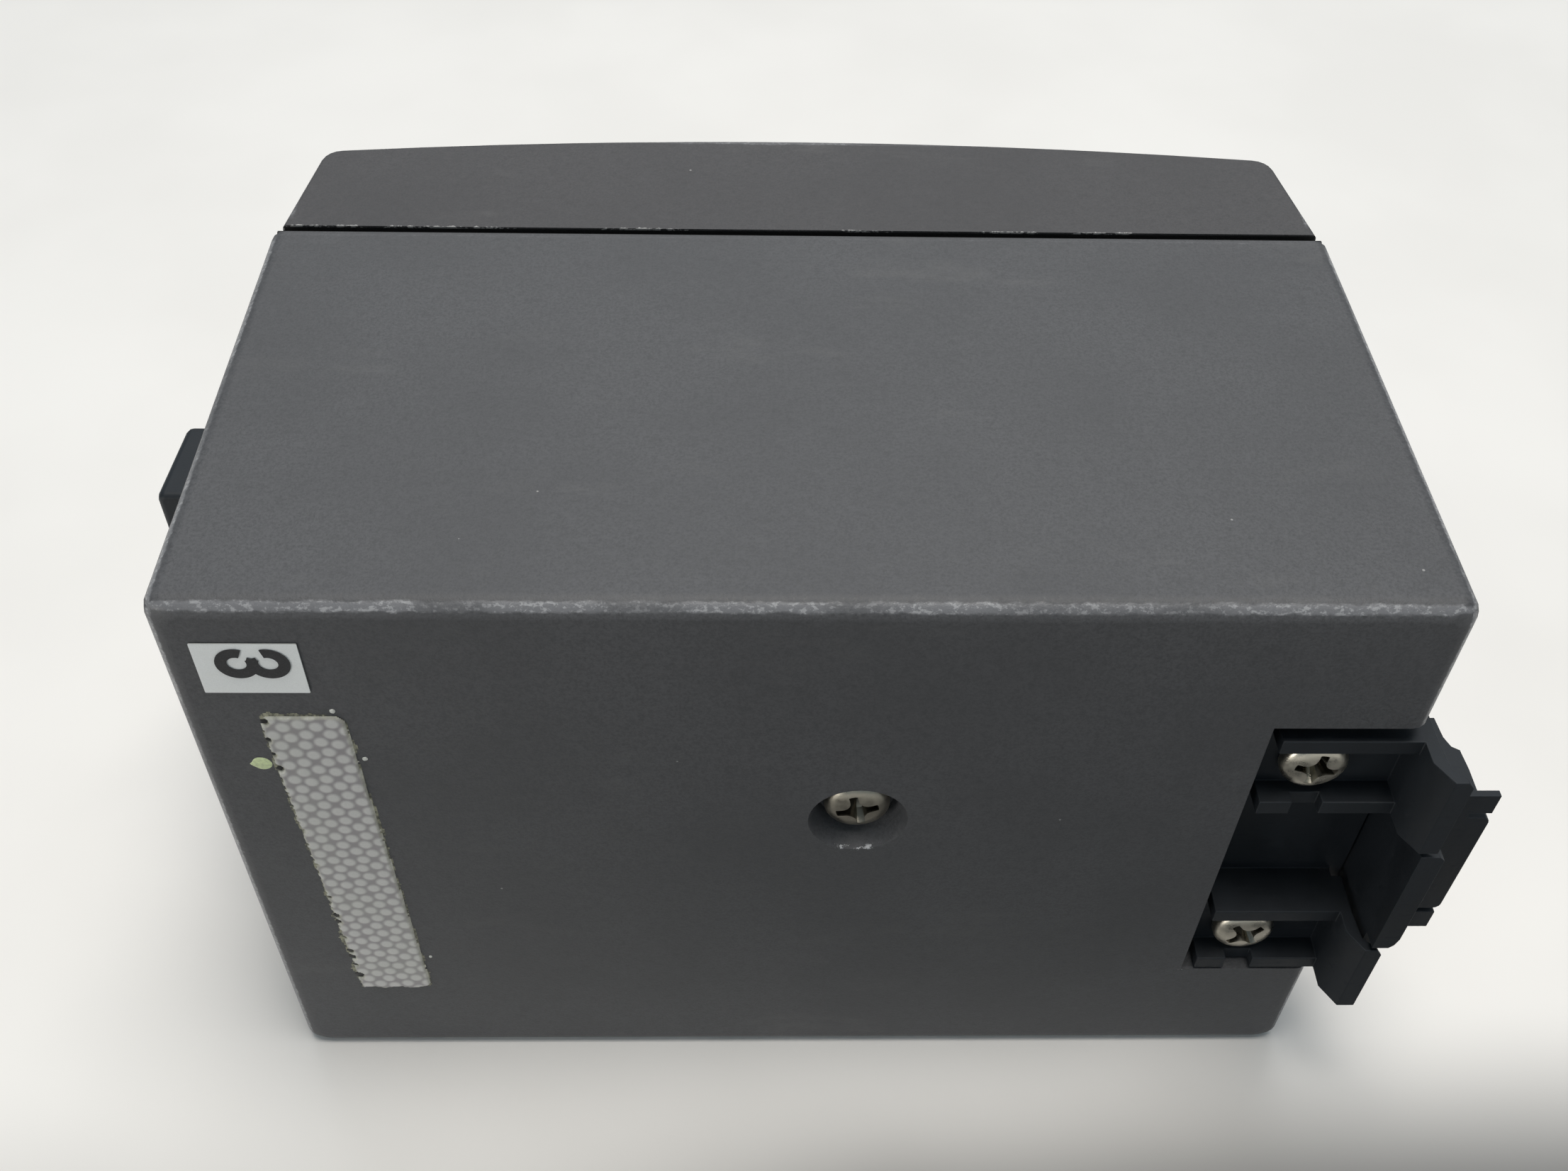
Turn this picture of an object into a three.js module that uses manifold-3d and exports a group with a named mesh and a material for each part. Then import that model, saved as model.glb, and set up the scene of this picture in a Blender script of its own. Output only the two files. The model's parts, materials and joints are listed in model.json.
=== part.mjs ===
// A plug-on controller module: a deep moulded box with an arched, hinged front cover,
// a two-channel hook bracket let into one end of its rear face, a sprung hook slide,
// a release latch at the other end, and two circuit boards with their parts inside.
//
// The module lies on one side face. +X runs along its length towards the hook end,
// +Y from the rear face towards the front cover, +Z up through its width.
// The origin is the centre of the side face it lies on. All sizes are millimetres.

import * as THREE from 'three';
import { mergeVertices } from 'three/addons/utils/BufferGeometryUtils.js';
import Module from 'manifold-3d';

const wasm = await Module();
wasm.setup();
const { Manifold, Mesh: ManifoldMesh } = wasm;

// ---------- driving dimensions ----------

const LENGTH = 125;
const WIDTH = 82.6;
const HOUSING_DEPTH = 60;
const WALL = 2.5;
const EDGE_R = 2;
const CLEAR = 0.3;

const END = LENGTH / 2;
const REAR = -HOUSING_DEPTH / 2;
const FRONT = HOUSING_DEPTH / 2;
const MID_Z = 40.65;

const COVER_GAP = 1.3;
const COVER_WALL = 2;
const COVER_END = 61.75;
const COVER_SIDE_GAP = 0.3;
const COVER_SHOULDER_X = 59.5;
const COVER_SHOULDER = 16.5;
const COVER_RISE = 3.4;
const COVER_RIM = FRONT + COVER_GAP;

const HINGE_X = -59.9;
const HINGE_Y = FRONT + 5.6;
const HINGE_PIN_R = 0.75;
const HINGE_BORE_R = 1;
const HINGE_ZS = [13.75, WIDTH - 13.75];
const HINGE_EAR = 3.5;
const HINGE_EAR_R = 2;

const POCKET_X = 46.5;
const POCKET_DEPTH = 11;
const POCKET_Z = [18.1, 65];

const BRACKET_X = 48;
const BRACKET_END = 62.6;
const BRACKET_Z = [18.5, 62.8];
const BRACKET_WALL = 2;
const CHANNEL = 12.4;
const CHANNEL_FLOOR = 3;
const TRAY_FLOOR = 6.1;
const TAB_REACH = 5.2;
const TAB_STRAIGHT = 2.6;
const TAB_LEAN = 1.6;
const TAB_THICK = 1.4;
const TAB_TIP = 2.1;

const SCREW_X = 53.15;
const SCREW_ZS = [24.3, 56.9];
const SCREW_R = 2;
const SCREW_HEAD_R = 3.6;
const SCREW_HEAD_H = 2.1;

const SLIDE_X = 67.4;
const RISER_THICK = 2.7;
const RISER_HALF = 9.1;
const SHOULDER_THICK = 1.5;
const SHOULDER_REACH = 3;
const SHOULDER_HEIGHT = 2.8;
const TONGUE_HALF = 8.4;
const PLATE_X = 71.3;
const PLATE_HALF = 12.9;
const LIP_X = 73.9;
const LIP_HALF = 8.9;
const LIP_THICK = 2;
const LUG_X = 73.7;
const LUG_THICK = 0.8;
const LUG_HEIGHT = 3.1;
const SPRING_PEG = [50.6, 52.2];

const REAR_SCREW_X = 5.4;
const REAR_SCREW_Z = 49.1;
const REAR_SCREW_SEAT = 3.3;
const COUNTERBORE_R = 5.3;
const COUNTERBORE_FOOT_R = 4.2;

const LATCH_TIP = -74.1;
const LATCH_Y = [REAR + 35.6, REAR + 47.9];
const LATCH_Z = [BRACKET_Z[0], BRACKET_Z[1]];
const LATCH_FLANGE = 1.8;

const BOARD = 1.6;
const BASE_BOARD_Y = REAR + 18;
const FRONT_BOARD_Y = REAR + 52;
const PILLAR_X = 51.5;
const PILLAR_ZS = [9.5, WIDTH - 9.5];
const PILLAR_R = 3.2;

const BOARD_HALF = 57.5;
const BOARD_Z = [4.5, WIDTH - 4.5];
const BASE_TOP = BASE_BOARD_Y + BOARD + CLEAR;
const FRONT_TOP = FRONT_BOARD_Y + BOARD + CLEAR;
const BOARD_HOLE_R = 1.5;

const TRANSFORMER = {
  core: [[-42, -16], [3, 21], [44, 72]],
  bobbin: [[-38, -20], [0, 24], [47, 69]],
  groove: [[-43, -15], [2, 22], [57, 59]],
};
const HEAT_SINK = { x: [20, 46], z: [44, 74], base: 4, height: 22, fins: 6, fin: 2, pitch: 4.8 };
const CAPACITOR = { x: -4, zs: [52, 65], radius: 5.5, topR: 5, height: 20.4, lip: 0.5 };
const RELAY = { count: 4, x: -27, pitch: 17, wide: 12.5, z: [10, 34], height: 16, corner: 0.8 };
const PROCESSOR = { half: 8, z: 50, thick: 1.4, legReach: 9.4, legSpan: 7, legThick: 0.7 };
const LINK = { x: [-4, 14], z: [74.6, 77], shroud: 6, rim: 1 };

const TERMINAL_COUNT = 8;
const TERMINAL_PITCH = 10;
const TERMINAL_HALF = (TERMINAL_COUNT * TERMINAL_PITCH) / 2 + 2;
const TERMINAL_Z = [8, 30];
const TERMINAL_STEP_Z = 18;
const TERMINAL_SCREW_Z = 24;
const TERMINAL_WIRE_Z = [11, 14.6];
const BLOCK_FACE = FRONT + 10;
const SWITCH = { x: [-33, -21], z: [56, 62], height: 5, grooveZ: [57.5, 60.5], leverZ: [57.8, 60.2] };
const LIGHT_PIPE = { x: [-8, 28], z: [56, 64], rods: 8, firstX: -5.5, pitch: 4.4, rodZ: 60, rodR: 1.3 };
const FUSE = { x: 44, z: 59, holderR: 5, boreR: 3, capR: 2.6, glassR: 2.4, capLength: 3.7 };
const SOCKET = { x: [-10, 20], z: [41, 45], rim: 1, rimZ: 0.8 };
const WINDOW = { x: [-12, 32], z: [50, 68] };
const LEGEND = { x: [-48, 48], z: [10, 28] };

// ---------- materials ----------

const colours = {
  housing: [0x45464a, 0.62, 0],
  black: [0x17191c, 0.45, 0],
  nickel: [0xbfb9a8, 0.3, 1],
  steel: [0x9a9c9e, 0.35, 1],
  brass: [0xb5924c, 0.35, 1],
  white: [0xd9dbd8, 0.5, 0],
  ink: [0x1c1c1d, 0.6, 0],
  reflective: [0xa3a39c, 0.35, 0],
  board: [0x1d5a38, 0.5, 0],
  part_black: [0x1f2022, 0.5, 0],
  relay: [0x2b4c86, 0.45, 0],
  copper: [0x8a5a35, 0.5, 0.4],
  aluminium: [0xa9abad, 0.4, 1],
  can: [0x2a3550, 0.35, 0],
  terminal: [0x3c6b4a, 0.5, 0],
  window: [0x2b2022, 0.1, 0],
  glass: [0xcfd6d8, 0.1, 0],
  legend: [0xc4c6c4, 0.55, 0],
};

function material(name) {
  const [color, roughness, metalness] = colours[name];
  return new THREE.MeshStandardMaterial({ color, roughness, metalness });
}

// ---------- solid helpers ----------

function toSolid(geometry) {
  const plain = geometry.clone();
  plain.deleteAttribute('normal');
  plain.deleteAttribute('uv');
  const merged = mergeVertices(plain, 1e-4);
  return new Manifold(new ManifoldMesh({
    numProp: 3,
    vertProperties: new Float32Array(merged.attributes.position.array),
    triVerts: new Uint32Array(merged.index.array),
  }));
}

function toGeometry(solid) {
  const mesh = solid.getMesh();
  const geometry = new THREE.BufferGeometry();
  geometry.setAttribute('position', new THREE.BufferAttribute(new Float32Array(mesh.vertProperties), 3));
  geometry.setIndex(new THREE.BufferAttribute(new Uint32Array(mesh.triVerts), 1));
  const faceted = geometry.toNonIndexed();
  faceted.computeVertexNormals();
  return faceted;
}

function join(...solids) {
  return solids.reduce((whole, next) => whole.add(next));
}

function cut(solid, ...tools) {
  return tools.reduce((whole, tool) => whole.subtract(tool), solid);
}

function grow([low, high], by) {
  return [low - by, high + by];
}

function shift([low, high], by) {
  return [low + by, high + by];
}

function box([x0, x1], [y0, y1], [z0, z1]) {
  const geometry = new THREE.BoxGeometry(x1 - x0, y1 - y0, z1 - z0);
  geometry.translate((x0 + x1) / 2, (y0 + y1) / 2, (z0 + z1) / 2);
  return toSolid(geometry);
}

function shapeOf(points) {
  return new THREE.Shape(points.map(([u, v]) => new THREE.Vector2(u, v)));
}

// A prism along Z from an outline in (x, y), with an optional small bevel on both ends.
function prismZ(points, [z0, z1], bevel = 0) {
  const geometry = new THREE.ExtrudeGeometry(shapeOf(points), {
    depth: z1 - z0 - 2 * bevel,
    bevelEnabled: bevel > 0,
    bevelSize: bevel,
    bevelThickness: bevel,
    bevelOffset: -bevel,
    bevelSegments: 3,
  });
  geometry.translate(0, 0, z0 + bevel);
  return toSolid(geometry);
}

// A prism along Y from an outline in (x, z).
function prismY(points, [y0, y1], bevel = 0) {
  const flipped = points.map(([x, z]) => [x, -z]);
  const geometry = new THREE.ExtrudeGeometry(shapeOf(flipped), {
    depth: y1 - y0 - 2 * bevel,
    bevelEnabled: bevel > 0,
    bevelSize: bevel,
    bevelThickness: bevel,
    bevelOffset: -bevel,
    bevelSegments: 3,
  });
  geometry.rotateX(-Math.PI / 2);
  geometry.translate(0, y0 + bevel, 0);
  return toSolid(geometry);
}

// A prism along X from an outline in (y, z).
function prismX(points, [x0, x1]) {
  const geometry = new THREE.ExtrudeGeometry(shapeOf(points), { depth: x1 - x0, bevelEnabled: false });
  geometry.rotateX(Math.PI / 2);
  geometry.rotateZ(Math.PI / 2);
  geometry.translate(x0, 0, 0);
  return toSolid(geometry);
}

function rodY(radius, [y0, y1], x, z, sides = 24, endRadius = radius) {
  const geometry = new THREE.CylinderGeometry(endRadius, radius, y1 - y0, sides);
  geometry.translate(x, (y0 + y1) / 2, z);
  return toSolid(geometry);
}

function rodZ(radius, [z0, z1], x, y, sides = 24) {
  const geometry = new THREE.CylinderGeometry(radius, radius, z1 - z0, sides);
  geometry.rotateX(Math.PI / 2);
  geometry.translate(x, y, (z0 + z1) / 2);
  return toSolid(geometry);
}

// A rectangle in two coordinates with rounded corners, counter-clockwise.
function roundedRect([u0, u1], [v0, v1], radius, steps = 4) {
  const corners = [
    [u1 - radius, v0 + radius, -Math.PI / 2],
    [u1 - radius, v1 - radius, 0],
    [u0 + radius, v1 - radius, Math.PI / 2],
    [u0 + radius, v0 + radius, Math.PI],
  ];
  const points = [];
  for (const [u, v, start] of corners) {
    for (let i = 0; i <= steps; i += 1) {
      const angle = start + (i / steps) * (Math.PI / 2);
      points.push([u + radius * Math.cos(angle), v + radius * Math.sin(angle)]);
    }
  }
  return points;
}

// A convex solid through matching outlines in (x, z), one for each y.
function loftY(rings) {
  const positions = [];
  const indices = [];
  const count = rings[0].points.length;
  for (const { y, points } of rings) {
    for (const [x, z] of points) {
      positions.push(x, y, z);
    }
  }
  for (let ring = 0; ring < rings.length - 1; ring += 1) {
    for (let i = 0; i < count; i += 1) {
      const a = ring * count + i;
      const b = ring * count + ((i + 1) % count);
      indices.push(a, a + count, b, b, a + count, b + count);
    }
  }
  const last = (rings.length - 1) * count;
  for (let i = 1; i < count - 1; i += 1) {
    indices.push(0, i, i + 1);
    indices.push(last, last + i + 1, last + i);
  }
  const geometry = new THREE.BufferGeometry();
  geometry.setAttribute('position', new THREE.Float32BufferAttribute(positions, 3));
  geometry.setIndex(indices);
  return toSolid(geometry);
}

// A round wire wound on a line along X, ended by flat caps.
function coilX({ x0, x1, y, z, radius, wire, turns }) {
  const around = 6;
  const perTurn = 14;
  const steps = turns * perTurn;
  const positions = [];
  const indices = [];
  for (let i = 0; i <= steps; i += 1) {
    const angle = (i / perTurn) * 2 * Math.PI;
    const radial = new THREE.Vector3(0, Math.cos(angle), Math.sin(angle));
    const alongX = new THREE.Vector3(1, 0, 0);
    const centre = radial.clone().multiplyScalar(radius);
    centre.add(new THREE.Vector3(x0 + ((x1 - x0) * i) / steps, y, z));
    for (let j = 0; j < around; j += 1) {
      const turn = (j / around) * 2 * Math.PI;
      const point = centre.clone();
      point.addScaledVector(radial, wire * Math.cos(turn));
      point.addScaledVector(alongX, wire * Math.sin(turn));
      positions.push(point.x, point.y, point.z);
    }
  }
  for (let i = 0; i < steps; i += 1) {
    for (let j = 0; j < around; j += 1) {
      const a = i * around + j;
      const b = i * around + ((j + 1) % around);
      indices.push(a, a + around, b, b, a + around, b + around);
    }
  }
  const last = steps * around;
  for (let j = 1; j < around - 1; j += 1) {
    indices.push(0, j, j + 1);
    indices.push(last, last + j + 1, last + j);
  }
  const geometry = new THREE.BufferGeometry();
  geometry.setAttribute('position', new THREE.Float32BufferAttribute(positions, 3));
  geometry.setIndex(indices);
  const solid = toSolid(geometry);
  return solid.volume() > 0 ? solid : toSolid(reversed(geometry));
}

function reversed(geometry) {
  const flipped = geometry.clone();
  flipped.setIndex(Array.from(geometry.index.array).reverse());
  return flipped;
}

// ---------- screws ----------

// A cross recess, narrowing as it goes in from the face at y.
function crossRecess(x, y, z, reach, depth) {
  const arm = reach * 0.24;
  const blade = [[-reach, -0.1], [reach, -0.1], [reach * 0.45, depth], [-reach * 0.45, depth]];
  const across = prismZ(blade, [-arm, arm]);
  const upright = across.rotate([0, 90, 0]);
  return join(across, upright).translate([x, y, z]);
}

// A pan-head screw entering along +Y, with its head's underside at y.
function panScrew(x, y, z, length) {
  const rim = SCREW_HEAD_H * 0.56;
  const profile = [
    [0, length], [SCREW_R - 0.5, length], [SCREW_R, length - 1], [SCREW_R, 0],
    [SCREW_HEAD_R, 0], [SCREW_HEAD_R, -rim], [SCREW_HEAD_R * 0.93, -rim - 0.55],
    [SCREW_HEAD_R * 0.72, -SCREW_HEAD_H + 0.2], [SCREW_HEAD_R * 0.45, -SCREW_HEAD_H], [0, -SCREW_HEAD_H],
  ];
  const geometry = new THREE.LatheGeometry(profile.map(([r, h]) => new THREE.Vector2(r, h)), 32);
  geometry.translate(x, y, z);
  let solid = toSolid(geometry);
  if (solid.volume() < 0) {
    solid = toSolid(reversed(mergeVertices(geometry)));
  }
  return cut(solid, crossRecess(x, y - SCREW_HEAD_H, z, SCREW_HEAD_R * 0.62, 1.5));
}

// A slotted screw entering along -Y from the front, with its head's underside at y.
function slottedScrew(x, y, z, { headR, headH, shankR, length }) {
  const solid = join(
    rodY(headR, [y, y + headH], x, z, 20),
    rodY(shankR, [y - length, y + 0.2], x, z, 16),
  );
  const slot = box([x - headR, x + headR], [y + headH * 0.5, y + headH + 1], [z - 0.4, z + 0.4]);
  return cut(solid, slot);
}

// ---------- housing ----------

function housingBlank() {
  const rings = [];
  const steps = 4;
  for (let i = 0; i <= steps; i += 1) {
    const angle = (i / steps) * (Math.PI / 2);
    const inset = EDGE_R * (1 - Math.sin(angle));
    rings.push({ y: REAR + EDGE_R * (1 - Math.cos(angle)), inset });
  }
  rings.push({ y: FRONT - 0.4, inset: 0 });
  rings.push({ y: FRONT, inset: 0.4 });
  return loftY(rings.map(({ y, inset }) => ({
    y,
    points: roundedRect([-END + inset, END - inset], [inset, WIDTH - inset], EDGE_R),
  })));
}

function makeHousing() {
  const [pocketLow, pocketHigh] = POCKET_Z;
  let solid = cut(housingBlank(), box(
    [-END + WALL, END - WALL],
    [REAR + WALL, FRONT + 1],
    [WALL, WIDTH - WALL],
  ));
  const pocketShell = box(
    [POCKET_X - WALL, END - 1],
    [REAR + 1, REAR + POCKET_DEPTH + WALL],
    [pocketLow - WALL, pocketHigh + WALL],
  );
  solid = join(solid, pocketShell);
  solid = cut(solid, box([POCKET_X, END + 1], [REAR - 1, REAR + POCKET_DEPTH], POCKET_Z));
  for (const z of SCREW_ZS) {
    solid = join(solid, rodY(3.8, [REAR + CHANNEL_FLOOR + 2.3, REAR + POCKET_DEPTH + 1], SCREW_X, z));
    solid = cut(solid, rodY(SCREW_R + CLEAR, [REAR + 4, REAR + POCKET_DEPTH + 1.8], SCREW_X, z));
  }
  const seat = REAR + REAR_SCREW_SEAT + CLEAR;
  solid = join(solid, rodY(7, [REAR + 1, REAR + 6.5], REAR_SCREW_X, REAR_SCREW_Z, 32));
  solid = cut(
    solid,
    rodY(COUNTERBORE_R + 0.2, [REAR - 0.4, seat], REAR_SCREW_X, REAR_SCREW_Z, 40, COUNTERBORE_FOOT_R),
    rodY(SCREW_R + CLEAR, [REAR, REAR + 8], REAR_SCREW_X, REAR_SCREW_Z),
  );
  for (const x of [-PILLAR_X, PILLAR_X]) {
    for (const z of PILLAR_ZS) {
      solid = join(solid, rodY(PILLAR_R, [REAR + 1, BASE_BOARD_Y - CLEAR], x, z));
      solid = cut(solid, rodY(1.5, [REAR + 9, BASE_BOARD_Y], x, z, 16));
    }
  }
  const latchSlot = box(
    [-END - 1, -END + WALL + 1],
    [LATCH_Y[0] - CLEAR, LATCH_Y[1] + CLEAR],
    [LATCH_Z[0] - CLEAR, LATCH_Z[1] + CLEAR],
  );
  solid = cut(solid, latchSlot);
  const springPost = box([-END + 1, -END + 6], [LATCH_Y[0] + 4.6, LATCH_Y[0] + 7.6], [12.5, 16.2]);
  return join(solid, springPost);
}

// ---------- rear bracket and hook slide ----------

// A tab that stands straight out from the bracket's end and then leans away from the housing.
function leaningTab(z0, z1) {
  const root = REAR + CHANNEL_FLOOR + BRACKET_WALL;
  const bend = REAR - TAB_STRAIGHT;
  const tip = REAR - TAB_REACH;
  const inner = BRACKET_END;
  const outline = [
    [inner, root],
    [inner, bend],
    [inner + TAB_LEAN, tip],
    [inner + TAB_LEAN + TAB_TIP, tip],
    [inner + TAB_THICK + 0.3, bend - 0.9],
    [inner + TAB_THICK, REAR],
    [inner + TAB_THICK, root],
  ];
  const corner = prismY(
    [[inner + TAB_LEAN + 0.6, z1 + 1], [inner + TAB_LEAN + TAB_TIP + 1, z1 + 1],
      [inner + TAB_LEAN + TAB_TIP + 1, z1 - 2.1]],
    [tip - 1, bend - 0.5],
  );
  return cut(prismZ(outline.reverse(), [z0, z1]), corner);
}

function makeBracket() {
  const [low, high] = BRACKET_Z;
  const wall = BRACKET_WALL;
  const floorY = REAR + CHANNEL_FLOOR;
  const trayY = REAR + TRAY_FLOOR;
  const outline = [
    [REAR, low], [REAR, low + wall], [floorY, low + wall],
    [floorY, low + CHANNEL - wall], [REAR, low + CHANNEL - wall], [REAR, low + CHANNEL],
    [trayY, low + CHANNEL], [trayY, high - CHANNEL],
    [REAR, high - CHANNEL], [REAR, high - CHANNEL + wall], [floorY, high - CHANNEL + wall],
    [floorY, high - wall], [REAR, high - wall], [REAR, high],
    [floorY + wall, high], [floorY + wall, high - CHANNEL + wall], [trayY + wall, high - CHANNEL + wall],
    [trayY + wall, low + CHANNEL - wall], [floorY + wall, low + CHANNEL - wall], [floorY + wall, low],
  ];
  const trayEnd = box(
    [BRACKET_END, SLIDE_X - RISER_THICK - CLEAR],
    [trayY, trayY + wall],
    [low + CHANNEL - wall, high - CHANNEL + wall],
  );
  const peg = box(SPRING_PEG, [trayY + wall - 0.5, REAR + POCKET_DEPTH - 0.5], [MID_Z - 1, MID_Z + 1]);
  let solid = join(
    prismX(outline, [BRACKET_X, BRACKET_END + 0.2]),
    trayEnd,
    peg,
    leaningTab(low, low + CHANNEL),
    leaningTab(high - CHANNEL, high),
  );
  for (const z of SCREW_ZS) {
    const lowerWall = z - CHANNEL / 2 + wall;
    solid = cut(
      solid,
      rodY(SCREW_R + CLEAR, [REAR, floorY + wall + 1], SCREW_X, z),
      box([SCREW_X - 1.6, SCREW_X + 1.6], [REAR - 1, REAR + 1.4], [lowerWall - wall - 1, lowerWall + 1]),
    );
  }
  return solid;
}

// The hook slide runs behind the bracket's tray and turns up outside the end of the housing.
// Its outer plate carries a lip in the middle and a thin lug at each end.
function makeHookSlide() {
  const tongueY = [REAR + TRAY_FLOOR + BRACKET_WALL + CLEAR, REAR + POCKET_DEPTH - CLEAR];
  const riserX = [SLIDE_X - RISER_THICK, SLIDE_X];
  const tip = REAR - TAB_REACH;
  const foot = MID_Z - RISER_HALF;
  const head = MID_Z + RISER_HALF;
  const tongue = cut(
    box([50, SLIDE_X], tongueY, [MID_Z - TONGUE_HALF, MID_Z + TONGUE_HALF]),
    box([49, 62], [tongueY[0] - 1, tongueY[1] + 1], [MID_Z - 3, MID_Z + 3]),
  );
  const riser = prismY(
    [[riserX[0], foot], [riserX[1] - 0.8, foot], [riserX[1] - 0.3, foot + 0.6], [riserX[1], foot + 1.8],
      [riserX[1], head - 0.6], [riserX[1] - 0.6, head], [riserX[0], head]],
    [tip, tongueY[1]],
  );
  const shoulders = box(
    [riserX[0], riserX[0] + SHOULDER_THICK],
    [REAR - SHOULDER_REACH, REAR],
    [foot - SHOULDER_HEIGHT, head + SHOULDER_HEIGHT],
  );
  const plate = prismZ(
    [[riserX[0], REAR - 0.8], [SLIDE_X - 0.5, REAR - 0.8], [SLIDE_X - 0.5, REAR], [PLATE_X, REAR],
      [PLATE_X, REAR + 3.6], [PLATE_X - 0.2, REAR + 6.2], [PLATE_X - 1, REAR + 6.7],
      [PLATE_X - 1.5, REAR + 8], [PLATE_X - 1.7, tongueY[1]], [riserX[0], tongueY[1]]],
    [MID_Z - PLATE_HALF, MID_Z + PLATE_HALF],
  );
  const lip = prismY(
    roundedRect([PLATE_X - 1, LIP_X], [MID_Z - LIP_HALF, MID_Z + LIP_HALF], 0.8, 3),
    [REAR, REAR + LIP_THICK],
  );
  const lugX = [PLATE_X - 1, LUG_X];
  const lugY = [REAR, REAR + LUG_THICK];
  const upperLug = box(lugX, lugY, [MID_Z + PLATE_HALF - LUG_HEIGHT, MID_Z + PLATE_HALF]);
  const lowerLug = box(lugX, lugY, [MID_Z - PLATE_HALF, MID_Z - PLATE_HALF + LUG_HEIGHT]);
  return join(tongue, riser, shoulders, plate, lip, upperLug, lowerLug);
}

function makeHookSpring() {
  const y = REAR + TRAY_FLOOR + BRACKET_WALL + CLEAR + 1.15;
  return coilX({ x0: 52.8, x1: 61.2, y, z: MID_Z, radius: 0.75, wire: 0.22, turns: 9 });
}

// ---------- release latch ----------

function makeLatch() {
  const [y0, y1] = LATCH_Y;
  const [z0, z1] = LATCH_Z;
  const inner = -END + WALL;
  const block = prismY(roundedRect([LATCH_TIP, inner + 1], [z0, z1], 1, 3), [y0, y1], 0.8);
  const flange = box(
    [inner + CLEAR, inner + CLEAR + 2],
    [y0 - LATCH_FLANGE, y1 + LATCH_FLANGE],
    [z0 - LATCH_FLANGE, z1 + LATCH_FLANGE],
  );
  const arm = join(
    box([inner + 1, inner + 22], [y0 + 4.6, y0 + 7.6], [z0 + 1, z0 + 4]),
    box([inner + 20, inner + 22], [y0 + 4.6, y0 + 7.6], [13.4, z0 + 3]),
  );
  const hollow = box([LATCH_TIP + 2, inner + 4], [y0 + 2, y1 - 2], [z0 + 6, z1 - 2]);
  return join(cut(join(block, flange), hollow), arm);
}

function makeLatchSpring() {
  return coilX({
    x0: -END + 6.6, x1: -END + WALL + 19.4, y: LATCH_Y[0] + 6.1, z: 14.9, radius: 1.3, wire: 0.3, turns: 10,
  });
}

// ---------- stickers on the rear face ----------

const STICKER_GAP = 0.05;
const LABEL = { x: [-58.8, -48.7], z: [70.5, 77.6], thick: 0.15 };
const DIGIT = { x: -53.3, z: 74.9, halfX: 1.5, halfZ: 1.48, stroke: 1.1, thick: 0.08 };
const STRIP_THICK = 0.3;

function makeLabel() {
  return box(LABEL.x, [REAR - STICKER_GAP - LABEL.thick, REAR - STICKER_GAP], LABEL.z);
}

// One bowl of the digit: an open ring of even stroke lying in (x, z).
function digitBowl(x, from, to) {
  const { z, halfX, halfZ, stroke, thick } = DIGIT;
  const reach = stroke / 2;
  const outer = [];
  const inner = [];
  const steps = 14;
  for (let i = 0; i <= steps; i += 1) {
    const angle = from + ((to - from) * i) / steps;
    outer.push([x + (halfX + reach) * Math.cos(angle), z + (halfZ + reach) * Math.sin(angle)]);
    inner.push([x + (halfX - reach) * Math.cos(angle), z + (halfZ - reach) * Math.sin(angle)]);
  }
  const face = REAR - STICKER_GAP - LABEL.thick - STICKER_GAP;
  return prismY([...outer, ...inner.reverse()].reverse(), [face - thick, face]);
}

// A plain figure three, turned a quarter turn so that its open side faces up.
function makeDigit() {
  return join(
    digitBowl(DIGIT.x - DIGIT.halfX, Math.PI * 0.38, Math.PI * 2.14),
    digitBowl(DIGIT.x + DIGIT.halfX, Math.PI * 0.86, Math.PI * 2.58),
  );
}

function makeStrip() {
  const outline = [
    [-54.9, 66], [-54.2, 67.2], [-46.9, 67.1], [-46.2, 66.2], [-44.8, 16.3], [-45.6, 15.5],
    [-52.5, 14.6], [-53.6, 15.6],
  ];
  return prismY(outline.reverse(), [REAR - STICKER_GAP - STRIP_THICK, REAR - STICKER_GAP]);
}

// ---------- inner frame and front cover ----------

function makeInnerFrame() {
  const back = FRONT - 3;
  const lipFace = FRONT + 0.7;
  let solid = join(
    box([-END + WALL + CLEAR, END - WALL - CLEAR], [back, lipFace], [WALL + CLEAR, WIDTH - WALL - CLEAR]),
    box([-END + 0.7, END - 0.7], [FRONT + CLEAR, lipFace], [0.7, WIDTH - 0.7]),
  );
  for (const z of HINGE_ZS) {
    const span = [z - HINGE_EAR / 2, z + HINGE_EAR / 2];
    solid = join(
      solid,
      rodZ(HINGE_EAR_R, span, HINGE_X, HINGE_Y),
      box([HINGE_X - 1.7, HINGE_X + HINGE_EAR_R], [FRONT + CLEAR, HINGE_Y], span),
    );
    solid = cut(solid, rodZ(HINGE_BORE_R, [span[0] - 1, span[1] + 1], HINGE_X, HINGE_Y, 20));
  }
  const through = [back - 1, FRONT + 2];
  const around = CLEAR + 0.1;
  const pipeZ = [LIGHT_PIPE.z[0] - around, LIGHT_PIPE.z[1] + around];
  return cut(
    solid,
    box([-TERMINAL_HALF - around, TERMINAL_HALF + around], through, grow(TERMINAL_Z, around)),
    box([SWITCH.x[0] - 1.4, SWITCH.x[1] + 1.4], through, grow(SWITCH.z, around)),
    box(grow(LIGHT_PIPE.x, around), through, pipeZ),
    rodY(FUSE.holderR + around, through, FUSE.x, FUSE.z, 24),
    box(grow(SOCKET.x, around), through, grow(SOCKET.z, around)),
  );
}

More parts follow.
